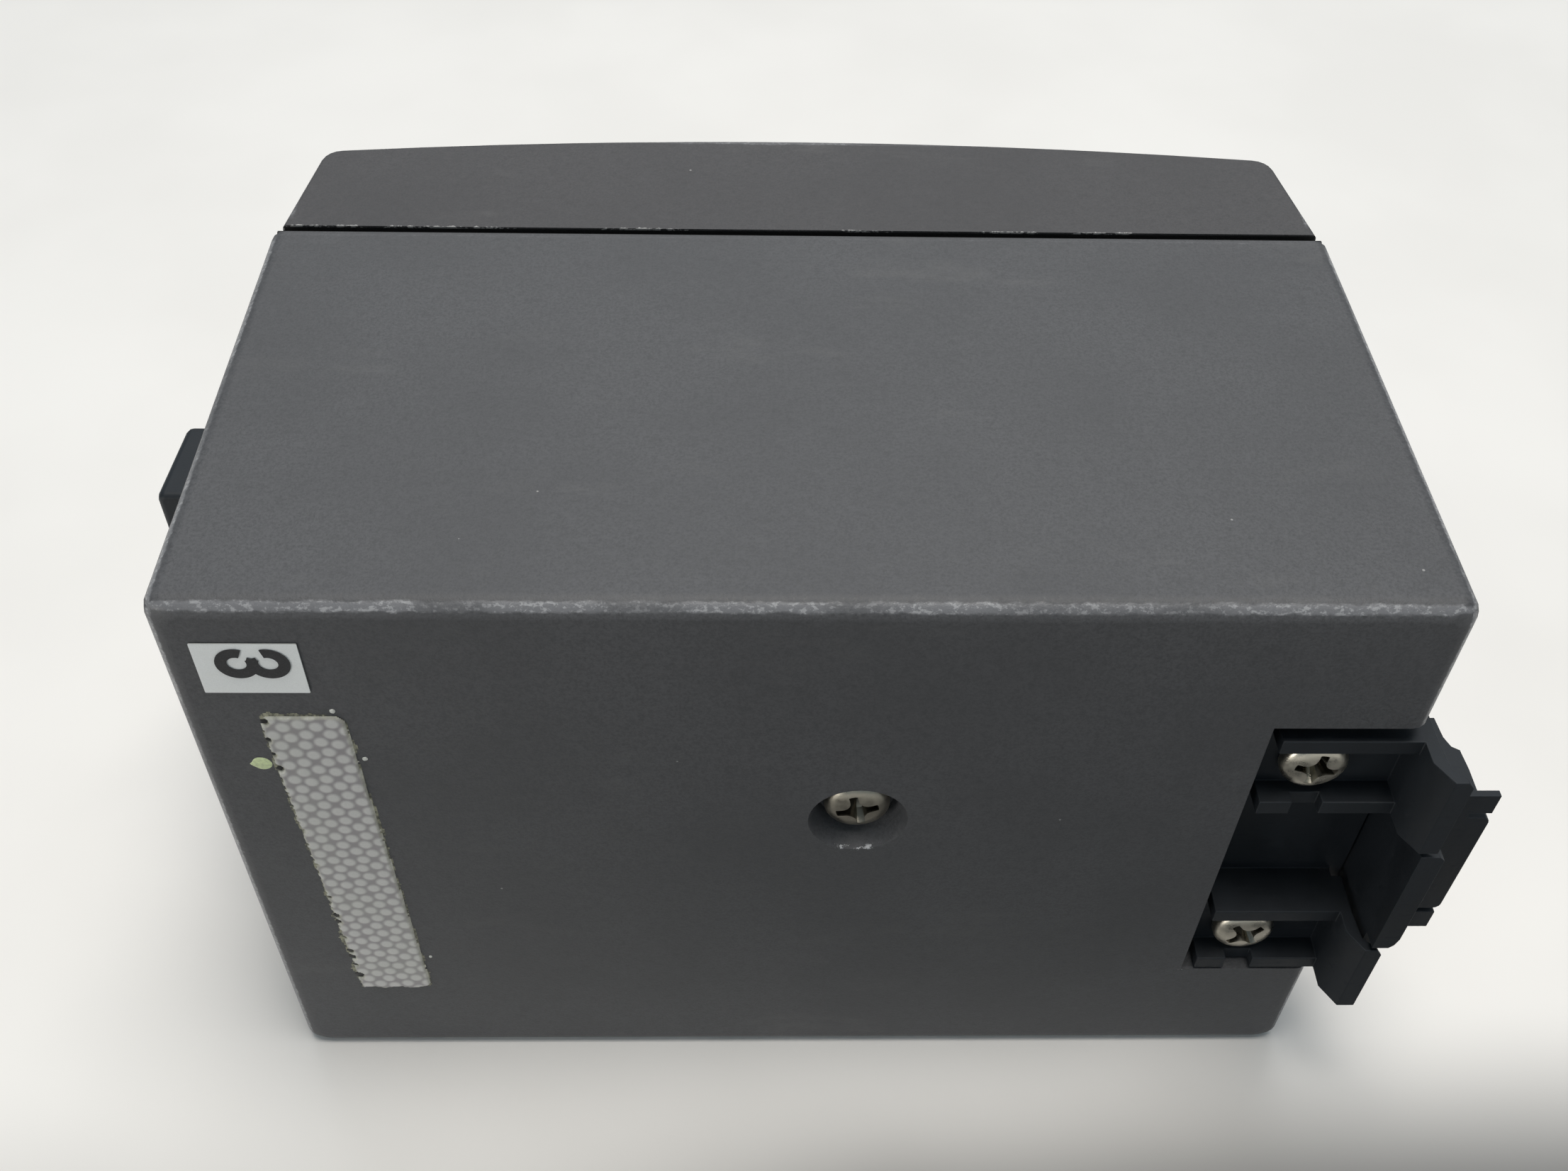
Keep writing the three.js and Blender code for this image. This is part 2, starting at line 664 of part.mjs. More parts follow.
// The cover's side outline in (x, y): upright ends leaning in, round shoulders, a long arch.
function coverOutline(inset, rimY) {
  const shoulderX = COVER_SHOULDER_X - inset;
  const shoulderY = COVER_RIM + COVER_SHOULDER - inset;
  const radius = Math.max(2.6 - inset, 0.6);
  const span = shoulderX - radius;
  const arch = (x) => shoulderY + COVER_RISE * (1 - (x / shoulderX) ** 2);
  const right = [[COVER_END - inset, rimY]];
  const lean = Math.atan2(COVER_END - COVER_SHOULDER_X, COVER_SHOULDER);
  for (let i = 0; i <= 4; i += 1) {
    const angle = lean + (i / 4) * (Math.PI / 2 - lean - 0.11);
    const x = span + radius * Math.cos(angle);
    right.push([x, arch(span) - radius + radius * Math.sin(angle)]);
  }
  const steps = 24;
  const top = [];
  for (let i = 1; i < steps; i += 1) {
    const x = span - (2 * span * i) / steps;
    top.push([x, arch(x)]);
  }
  const left = right.map(([x, y]) => [-x, y]).reverse();
  return [...right, ...top, ...left];
}

// A plate that follows the cover's arch, between two depths below its outer surface.
function archPlate([x0, x1], [z0, z1], outerDepth, innerDepth) {
  const surface = coverOutline(0, COVER_RIM).filter(([x]) => Math.abs(x) < COVER_SHOULDER_X - 2.6);
  const heightAt = (x) => {
    const k = surface.findIndex(([px]) => px <= x);
    const [ax, ay] = surface[k - 1];
    const [bx, by] = surface[k];
    return ay + ((by - ay) * (x - ax)) / (bx - ax);
  };
  const between = surface.filter(([x]) => x < x1 && x > x0).map(([x]) => x);
  const xs = [x1, ...between, x0];
  const upper = xs.map((x) => [x, heightAt(x) - outerDepth]);
  const lower = xs.map((x) => [x, heightAt(x) - innerDepth]).reverse();
  return prismZ([...upper, ...lower], [z0, z1]);
}

function makeCover() {
  const zRange = [COVER_SIDE_GAP, WIDTH - COVER_SIDE_GAP];
  const blank = cut(
    prismZ(coverOutline(0, COVER_RIM - 3), zRange, 0.6),
    box([-END - 5, END + 5], [COVER_RIM - 9, COVER_RIM], [-1, WIDTH + 1]),
  );
  const hollow = prismZ(
    coverOutline(COVER_WALL, COVER_RIM - 1),
    [zRange[0] + COVER_WALL, zRange[1] - COVER_WALL],
  );
  let solid = cut(blank, hollow);
  for (const z of HINGE_ZS) {
    const knuckle = rodZ(3.35, [z - 5.5, z + 5.5], HINGE_X, HINGE_Y, 28).intersect(blank);
    const slot = box(
      [-END - 2, HINGE_X + 3.8],
      [COVER_RIM - 2, HINGE_Y + HINGE_EAR_R + 0.5],
      [z - HINGE_EAR / 2 - 0.4, z + HINGE_EAR / 2 + 0.4],
    );
    const pinHole = rodZ(HINGE_BORE_R, [z - 5.2, z + 5.2], HINGE_X, HINGE_Y, 20);
    solid = cut(join(solid, knuckle), slot, pinHole);
  }
  const fingerCut = box([COVER_END - 4, END + 5], [COVER_RIM - 1, COVER_RIM + 2.5], [MID_Z - 9, MID_Z + 9]);
  return cut(
    solid,
    archPlate(grow(WINDOW.x, CLEAR), grow(WINDOW.z, CLEAR), -2, 5),
    archPlate(grow(LEGEND.x, CLEAR), grow(LEGEND.z, CLEAR), -1, 0.8),
    fingerCut,
  );
}

function makeHingePin(z) {
  return rodZ(HINGE_PIN_R, [z - 4.9, z + 4.9], HINGE_X, HINGE_Y, 20);
}

// ---------- circuit boards and what they carry ----------

function makeBoard(y) {
  let solid = box([-BOARD_HALF, BOARD_HALF], [y, y + BOARD], BOARD_Z);
  for (const x of [-PILLAR_X, PILLAR_X]) {
    for (const z of PILLAR_ZS) {
      solid = cut(solid, rodY(BOARD_HOLE_R, [y - 1, y + BOARD + 1], x, z, 16));
    }
  }
  return solid;
}

// A six-sided pillar between the boards, with a stud into the housing and a threaded end.
function makePillar(x, z) {
  const from = BASE_TOP;
  const to = FRONT_BOARD_Y - CLEAR;
  const stud = 6;
  const bore = 9;
  const solid = join(
    rodY(PILLAR_R, [from, to], x, z, 6),
    rodY(BOARD_HOLE_R - CLEAR, [BASE_BOARD_Y - stud, from + 1], x, z, 12),
  );
  return cut(solid, rodY(BOARD_HOLE_R, [to - bore, to + 1], x, z, 12));
}

function makeTransformer() {
  const [core, bobbin, groove] = [TRANSFORMER.core, TRANSFORMER.bobbin, TRANSFORMER.groove]
    .map(([x, y, z]) => box(x, shift(y, BASE_TOP), z));
  return join(cut(core, groove), bobbin);
}

function makeHeatSink() {
  const { x, z, base, height, fins, fin, pitch } = HEAT_SINK;
  let solid = box(x, [BASE_TOP, BASE_TOP + base], z);
  for (let i = 0; i < fins; i += 1) {
    const left = x[0] + i * pitch;
    solid = join(solid, box([left, left + fin], [BASE_TOP + base - 1, BASE_TOP + height], z));
  }
  return solid;
}

function makeCapacitor(z) {
  const { x, radius, topR, height, lip } = CAPACITOR;
  return join(
    rodY(radius, [BASE_TOP + lip, BASE_TOP + height - lip], x, z, 28),
    rodY(topR, [BASE_TOP, BASE_TOP + height], x, z, 28),
  );
}

function makeRelay(index) {
  const x = RELAY.x + index * RELAY.pitch;
  const outline = roundedRect([x, x + RELAY.wide], RELAY.z, RELAY.corner, 2);
  return prismY(outline, [BASE_TOP, BASE_TOP + RELAY.height]);
}

// A square chip under the front board, with its rows of legs drawn as thin sheets.
function makeProcessor() {
  const { half, z, thick, legReach, legSpan, legThick } = PROCESSOR;
  const face = FRONT_BOARD_Y - CLEAR;
  const legs = [face - legThick, face];
  return join(
    box([-half, half], [face - 0.2 - thick, face - 0.2], [z - half, z + half]),
    box([-legReach, legReach], legs, [z - legSpan, z + legSpan]),
    box([-legSpan, legSpan], legs, [z - legReach, z + legReach]),
  );
}

function makeBoardLink() {
  const y = [BASE_TOP, FRONT_BOARD_Y - CLEAR];
  const shroudX = grow(LINK.x, LINK.rim);
  const shroudZ = [LINK.z[0] - LINK.rim, LINK.z[1] + LINK.rim * 0.6];
  return join(
    box(LINK.x, y, LINK.z),
    box(shroudX, [y[0], y[0] + LINK.shroud], shroudZ),
    box(shroudX, [y[1] - LINK.shroud, y[1]], shroudZ),
  );
}

// ---------- what shows in the openings of the inner frame ----------

function terminalX(index) {
  return (index - (TERMINAL_COUNT - 1) / 2) * TERMINAL_PITCH;
}

// A stepped block: wires enter the low step, screws stand on the high one.
function makeTerminalBlock() {
  const width = [-TERMINAL_HALF, TERMINAL_HALF];
  const screwWell = 6;
  const clampWell = 12;
  const wireHalf = 1.8;
  let solid = join(
    box(width, [FRONT_TOP, BLOCK_FACE - 5], TERMINAL_Z),
    box(width, [FRONT_TOP, BLOCK_FACE], [TERMINAL_STEP_Z, TERMINAL_Z[1]]),
  );
  for (let i = 0; i < TERMINAL_COUNT; i += 1) {
    const x = terminalX(i);
    solid = cut(
      solid,
      rodY(3, [BLOCK_FACE - screwWell, BLOCK_FACE + 1], x, TERMINAL_SCREW_Z, 20),
      rodY(wireHalf, [BLOCK_FACE - clampWell, BLOCK_FACE], x, TERMINAL_SCREW_Z, 16),
      box([x - wireHalf, x + wireHalf], [BLOCK_FACE - clampWell - 1, BLOCK_FACE - 4], TERMINAL_WIRE_Z),
    );
  }
  return solid;
}

function makeTerminalScrew(index) {
  const sizes = { headR: 2.7, headH: 1.9, shankR: 1.5, length: 5.5 };
  return slottedScrew(terminalX(index), BLOCK_FACE - 6 + CLEAR, TERMINAL_SCREW_Z, sizes);
}

function makeBoardScrew(x, z) {
  const sizes = { headR: 2.2, headH: 1.4, shankR: BOARD_HOLE_R - CLEAR, length: 8 };
  return slottedScrew(x, FRONT_TOP, z, sizes);
}

function makeSwitchBase() {
  const { x, z, height, grooveZ } = SWITCH;
  const body = box(x, [FRONT_TOP, FRONT_TOP + height], z);
  const groove = box([x[0] + 1.5, x[1] - 1.5], [FRONT_TOP + 2, FRONT_TOP + height + 1], grooveZ);
  return cut(body, groove);
}

function makeSwitchLever() {
  const left = SWITCH.x[0] + 1.5 + CLEAR;
  const foot = 4;
  const inset = 0.6;
  return join(
    box([left, left + foot], [FRONT_TOP + 2 + CLEAR, FRONT_TOP + SWITCH.height], SWITCH.leverZ),
    box([left + inset, left + foot - inset], [FRONT_TOP + SWITCH.height - 0.5, FRONT + 4], SWITCH.leverZ),
  );
}

function makeLightPipe() {
  const { x, z, rods, firstX, pitch, rodZ: height, rodR } = LIGHT_PIPE;
  let solid = box(x, [FRONT - 4, FRONT - 1], z);
  for (let i = 0; i < rods; i += 1) {
    solid = join(solid, rodY(rodR, [FRONT_TOP, FRONT + 2.5], firstX + i * pitch, height, 14));
  }
  return solid;
}

function makeFuseHolder() {
  const { x, z, holderR, boreR } = FUSE;
  return cut(
    rodY(holderR, [FRONT_TOP, FRONT + 4], x, z, 28),
    rodY(boreR, [FRONT_TOP + 1.5, FRONT + 5], x, z, 24),
  );
}

function makeFuse() {
  const { x, z, capR, glassR, capLength } = FUSE;
  const low = FRONT_TOP + 1.5 + CLEAR;
  const high = FRONT + 3.6;
  return join(
    rodY(capR, [low, low + capLength], x, z, 20),
    rodY(glassR, [low + capLength - 0.5, high - capLength + 0.1], x, z, 20),
    rodY(capR, [high - capLength - 0.4, high], x, z, 20),
  );
}

function makeSocket() {
  const { x, z, rim, rimZ } = SOCKET;
  const shell = box(x, [FRONT_TOP, FRONT + 2], z);
  const mouth = box(grow(x, -rim), [FRONT_TOP + 3, FRONT + 3], grow(z, -rimZ));
  return cut(shell, mouth);
}

function makeInsert() {
  const solid = rodY(4.4, [REAR + 6.8, BASE_BOARD_Y - CLEAR], REAR_SCREW_X, REAR_SCREW_Z, 6);
  return cut(solid, rodY(SCREW_R + CLEAR, [REAR + 6, BASE_BOARD_Y - 2], REAR_SCREW_X, REAR_SCREW_Z));
}

// ---------- assembly ----------

const part = new THREE.Group();
part.name = 'plc_module';

function place(name, colour, solid) {
  const mesh = new THREE.Mesh(toGeometry(solid), material(colour));
  mesh.name = name;
  part.add(mesh);
}

place('housing', 'housing', makeHousing());
place('front_cover', 'housing', makeCover());
place('inner_frame', 'black', makeInnerFrame());
place('hook_bracket', 'black', makeBracket());
place('hook_slide', 'black', makeHookSlide());
place('hook_spring', 'steel', makeHookSpring());
place('release_latch', 'black', makeLatch());
place('latch_spring', 'steel', makeLatchSpring());
place('bracket_screw_lower', 'nickel', panScrew(SCREW_X, REAR + CHANNEL_FLOOR - 0.1, SCREW_ZS[0], 9));
place('bracket_screw_upper', 'nickel', panScrew(SCREW_X, REAR + CHANNEL_FLOOR - 0.1, SCREW_ZS[1], 9));
place('rear_screw', 'nickel', panScrew(REAR_SCREW_X, REAR + REAR_SCREW_SEAT, REAR_SCREW_Z, 12));
place('rear_insert', 'brass', makeInsert());
place('number_label', 'white', makeLabel());
place('number_digit', 'ink', makeDigit());
place('reflective_strip', 'reflective', makeStrip());
place('hinge_pin_lower', 'steel', makeHingePin(HINGE_ZS[0]));
place('hinge_pin_upper', 'steel', makeHingePin(HINGE_ZS[1]));
place('status_window', 'window', archPlate(WINDOW.x, WINDOW.z, 0.2, 1.9));
place('legend_plate', 'legend', archPlate(LEGEND.x, LEGEND.z, 0.2, 0.6));
place('base_board', 'board', makeBoard(BASE_BOARD_Y));
place('front_board', 'board', makeBoard(FRONT_BOARD_Y));
for (const [column, x] of [['left', -PILLAR_X], ['right', PILLAR_X]]) {
  for (const [row, z] of [['lower', PILLAR_ZS[0]], ['upper', PILLAR_ZS[1]]]) {
    place(`pillar_${column}_${row}`, 'brass', makePillar(x, z));
    place(`board_screw_${column}_${row}`, 'steel', makeBoardScrew(x, z));
  }
}
place('transformer', 'copper', makeTransformer());
place('heat_sink', 'aluminium', makeHeatSink());
place('capacitor_left', 'can', makeCapacitor(CAPACITOR.zs[0]));
place('capacitor_right', 'can', makeCapacitor(CAPACITOR.zs[1]));
for (let i = 0; i < RELAY.count; i += 1) {
  place(`relay_${i + 1}`, 'relay', makeRelay(i));
}
place('processor', 'part_black', makeProcessor());
place('board_link', 'part_black', makeBoardLink());
place('terminal_block', 'terminal', makeTerminalBlock());
for (let i = 0; i < TERMINAL_COUNT; i += 1) {
  place(`terminal_screw_${i + 1}`, 'nickel', makeTerminalScrew(i));
}
place('mode_switch_base', 'part_black', makeSwitchBase());
place('mode_switch_lever', 'white', makeSwitchLever());
place('light_pipe', 'glass', makeLightPipe());
place('fuse_holder', 'part_black', makeFuseHolder());
place('fuse', 'glass', makeFuse());
place('service_socket', 'aluminium', makeSocket());

export default part;
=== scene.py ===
import json
import math

import bmesh
import bpy
from mathutils import Matrix, Vector, noise


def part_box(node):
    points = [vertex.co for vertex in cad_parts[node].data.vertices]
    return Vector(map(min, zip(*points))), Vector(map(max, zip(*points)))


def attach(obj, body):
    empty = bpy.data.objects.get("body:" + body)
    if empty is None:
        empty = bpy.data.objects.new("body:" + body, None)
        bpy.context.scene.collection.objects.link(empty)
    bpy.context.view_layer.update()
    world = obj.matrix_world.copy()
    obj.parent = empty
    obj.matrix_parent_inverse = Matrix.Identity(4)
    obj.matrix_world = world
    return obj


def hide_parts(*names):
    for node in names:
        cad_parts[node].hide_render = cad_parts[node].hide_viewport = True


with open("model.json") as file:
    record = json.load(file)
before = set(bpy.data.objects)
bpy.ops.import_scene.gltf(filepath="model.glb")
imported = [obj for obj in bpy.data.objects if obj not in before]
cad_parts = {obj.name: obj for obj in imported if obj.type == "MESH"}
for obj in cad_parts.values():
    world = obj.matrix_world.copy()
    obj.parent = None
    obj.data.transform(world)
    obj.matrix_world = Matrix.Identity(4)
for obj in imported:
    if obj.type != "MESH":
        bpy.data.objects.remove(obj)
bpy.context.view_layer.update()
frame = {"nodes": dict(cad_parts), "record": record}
RECORD = frame["record"]
BODY_OF = {node: body for body, nodes in RECORD["behaviour"]["bodies"].items() for node in nodes}
SLOT_OF = {part["node"]: part["material_slot"] for part in RECORD["subparts"]}
MM = 0.001


def box_mm(node):
    """A CAD node's lowest and highest corner, in millimetres."""
    low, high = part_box(node)
    return low / MM, high / MM


CASE_LOW, CASE_HIGH = box_mm("housing")
REAR = CASE_LOW.y
FRONT = CASE_HIGH.y
SMOOTH_ANGLE = 38


# ---------- mesh helpers; everything is built in millimetres ----------


def cad_copy(node):
    """The CAD node's surface as one clean mesh without the triangles of its flat faces."""
    mesh = bmesh.new()
    mesh.from_mesh(frame["nodes"][node].data)
    bmesh.ops.scale(mesh, vec=(1 / MM,) * 3, verts=mesh.verts)
    bmesh.ops.remove_doubles(mesh, verts=mesh.verts, dist=0.003)
    bmesh.ops.dissolve_limit(mesh, angle_limit=math.radians(0.5), verts=mesh.verts, edges=mesh.edges)
    return mesh


def round_edges(mesh, width, segments=2, angle=32):
    sharp = [e for e in mesh.edges if len(e.link_faces) == 2 and e.calc_face_angle() > math.radians(angle)]
    if sharp and width > 0:
        bmesh.ops.bevel(
            mesh, geom=sharp, offset=width, offset_type="OFFSET", segments=segments,
            profile=0.5, affect="EDGES", clamp_overlap=True,
        )
    return mesh


def as_object(mesh, name, angle=SMOOTH_ANGLE):
    """A shown object from a bmesh in millimetres, smooth except across sharp corners."""
    for face in mesh.faces:
        face.smooth = True
    for edge in mesh.edges:
        if len(edge.link_faces) == 2:
            edge.smooth = edge.calc_face_angle() < math.radians(angle)
    bmesh.ops.scale(mesh, vec=(MM,) * 3, verts=mesh.verts)
    data = bpy.data.meshes.new(name)
    mesh.to_mesh(data)
    mesh.free()
    obj = bpy.data.objects.new(name, data)
    bpy.context.scene.collection.objects.link(obj)
    weighted = obj.modifiers.new("normals", "WEIGHTED_NORMAL")
    weighted.keep_sharp = True
    return obj


def prism(outline, axis, start, end):
    """A prism along an axis; the outline is in the other two coordinates, in x, y, z order."""
    def point(u, v, w):
        return {"x": (w, u, v), "y": (u, w, v), "z": (u, v, w)}[axis]

    mesh = bmesh.new()
    rows = [[mesh.verts.new(point(u, v, w)) for u, v in outline] for w in (start, end)]
    mesh.faces.new(rows[0])
    mesh.faces.new(rows[1][::-1])
    count = len(outline)
    for i in range(count):
        j = (i + 1) % count
        mesh.faces.new((rows[0][j], rows[0][i], rows[1][i], rows[1][j]))
    bmesh.ops.recalc_face_normals(mesh, faces=mesh.faces)
    return mesh


def lathe(profile, centre, segments=72):
    """A body turned about a line along Y through centre; the profile is (radius, y) from axis to axis."""
    mesh = bmesh.new()
    rings = []
    for radius, y in profile:
        if radius == 0:
            rings.append([mesh.verts.new((centre[0], y, centre[1]))])
            continue
        ring = []
        for i in range(segments):
            turn = 2 * math.pi * i / segments
            x = centre[0] + radius * math.cos(turn)
            z = centre[1] + radius * math.sin(turn)
            ring.append(mesh.verts.new((x, y, z)))
        rings.append(ring)
    for a, b in zip(rings, rings[1:]):
        for i in range(segments):
            j = (i + 1) % segments
            corners = [a[i % len(a)], a[j % len(a)], b[j % len(b)], b[i % len(b)]]
            mesh.faces.new(list(dict.fromkeys(corners)))
    bmesh.ops.recalc_face_normals(mesh, faces=mesh.faces)
    return mesh


def combine(mesh, tool, operation):
    """The boolean of two bmeshes, as a new bmesh."""
    made = []
    for source in (mesh, tool):
        data = bpy.data.meshes.new("work")
        source.to_mesh(data)
        source.free()
        obj = bpy.data.objects.new("work", data)
        bpy.context.scene.collection.objects.link(obj)
        made.append(obj)
    modifier = made[0].modifiers.new("cut", "BOOLEAN")
    modifier.operation = operation
    modifier.solver = "EXACT"
    modifier.object = made[1]
    bpy.context.view_layer.update()
    result = bmesh.new()
    result.from_mesh(made[0].evaluated_get(bpy.context.evaluated_depsgraph_get()).to_mesh())
    for obj in made:
        bpy.data.objects.remove(obj)
    return result


def show(mesh, node, angle=SMOOTH_ANGLE):
    """The shown piece that stands for a CAD node, on its body and in its material slot."""
    obj = as_object(mesh, node + "_shown", angle)
    obj.data.materials.append(OTHER_PAINTS.get(node) or PAINTS[SLOT_OF[node]])
    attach(obj, BODY_OF[node])
    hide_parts(node)
    return obj


def add_detail(mesh, name, beside, material):
    """A small extra piece that rides with a CAD node."""
    obj = as_object(mesh, name)
    obj.data.materials.append(material)
    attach(obj, BODY_OF[beside])
    return obj


# ---------- procedural materials ----------


class Paint:
    """Builds one procedural material. Lengths are in millimetres and follow the piece's own frame."""

    def __init__(self, name):
        self.material = bpy.data.materials.new(name)
        self.material.use_nodes = True
        self.tree = self.material.node_tree
        self.surface = self.tree.nodes["Principled BSDF"]
        self.place = self.node("ShaderNodeTexCoord").outputs["Object"]

    def node(self, kind, **settings):
        made = self.tree.nodes.new(kind)
        for key, value in settings.items():
            setattr(made, key, value)
        return made

    def put(self, socket, value):
        if isinstance(value, bpy.types.NodeSocket):
            self.tree.links.new(value, socket)
        else:
            socket.default_value = value

    def noise(self, size, detail=2.0, roughness=0.5, stretch=(1, 1, 1), kind="noise"):
        place = self.place
        if stretch != (1, 1, 1):
            mapping = self.node("ShaderNodeMapping")
            self.put(mapping.inputs["Vector"], place)
            mapping.inputs["Scale"].default_value = stretch
            place = mapping.outputs["Vector"]
        if kind == "cells":
            made = self.node("ShaderNodeTexVoronoi")
            self.put(made.inputs["Vector"], place)
            made.inputs["Scale"].default_value = 1 / (size * MM)
            return made
        made = self.node("ShaderNodeTexNoise")
        self.put(made.inputs["Vector"], place)
        made.inputs["Scale"].default_value = 1 / (size * MM)
        made.inputs["Detail"].default_value = detail
        made.inputs["Roughness"].default_value = roughness
        return made.outputs["Fac"]

    def calc(self, operation, a, b=0.0, c=0.0, clamp=False):
        made = self.node("ShaderNodeMath", operation=operation, use_clamp=clamp)
        for socket, value in zip(made.inputs, (a, b, c)):
            self.put(socket, value)
        return made.outputs["Value"]

    def span(self, value, low, high, to_low=0.0, to_high=1.0):
        """Maps value from low..high to another range, clamped and eased."""
        made = self.node("ShaderNodeMapRange", interpolation_type="SMOOTHSTEP")
        names = ("Value", "From Min", "From Max", "To Min", "To Max")
        for name, given in zip(names, (value, low, high, to_low, to_high)):
            self.put(made.inputs[name], given)
        return made.outputs["Result"]

    def blend(self, factor, a, b, kind="MIX"):
        """Mixes two colours; inputs 0, 6 and 7 and output 2 are the Mix node's colour sockets."""
        made = self.node("ShaderNodeMix", data_type="RGBA", blend_type=kind)
        self.put(made.inputs[0], factor)
        self.put(made.inputs[6], (*a, 1) if isinstance(a, tuple) else a)
        self.put(made.inputs[7], (*b, 1) if isinstance(b, tuple) else b)
        return made.outputs[2]

    def bump(self, height, depth, below=None):
        """Raises the surface by depth millimetres where height is 1."""
        made = self.node("ShaderNodeBump")
        made.inputs["Distance"].default_value = depth * MM
        made.inputs["Strength"].default_value = 1.0
        self.put(made.inputs["Height"], height)
        if below is not None:
            self.put(made.inputs["Normal"], below)
        return made.outputs["Normal"]

    def coordinate(self, axis):
        made = self.node("ShaderNodeSeparateXYZ")
        self.put(made.inputs["Vector"], self.place)
        return self.calc("MULTIPLY", made.outputs[axis], 1 / MM)

    def skin_gap(self, axis, low, high):
        """Millimetres to the nearer of two planes across an axis."""
        value = self.coordinate(axis)
        return self.calc(
            "MINIMUM",
            self.calc("ABSOLUTE", self.calc("SUBTRACT", value, low)),
            self.calc("ABSOLUTE", self.calc("SUBTRACT", high, value)),
        )

    def attribute(self, name):
        made = self.node("ShaderNodeAttribute", attribute_name=name)
        return made.outputs["Fac"]

    def node_value(self, node, output):
        """One number from a node's colour output."""
        split = self.node("ShaderNodeSeparateColor")
        self.put(split.inputs["Color"], node.outputs[output])
        return split.outputs["Red"]

    def finish(self, colour, roughness, normal=None, metallic=0.0, **more):
        self.put(self.surface.inputs["Base Color"], (*colour, 1) if isinstance(colour, tuple) else colour)
        self.put(self.surface.inputs["Roughness"], roughness)
        self.put(self.surface.inputs["Metallic"], metallic)
        if normal is not None:
            self.put(self.surface.inputs["Normal"], normal)
        for name, value in more.items():
            self.put(self.surface.inputs[name.replace("_", " ")], value)
        return self.material


def scaled(colour, factor):
    return tuple(channel * factor for channel in colour)


def edge_distance(paint, low, high):
    """Millimetres from the nearest edge of a box, for a point on its surface."""
    a, b, c = (paint.skin_gap(axis, low[axis], high[axis]) for axis in range(3))
    lesser = paint.calc("MINIMUM", a, b)
    greater = paint.calc("MAXIMUM", a, b)
    return paint.calc("MAXIMUM", lesser, paint.calc("MINIMUM", greater, c))


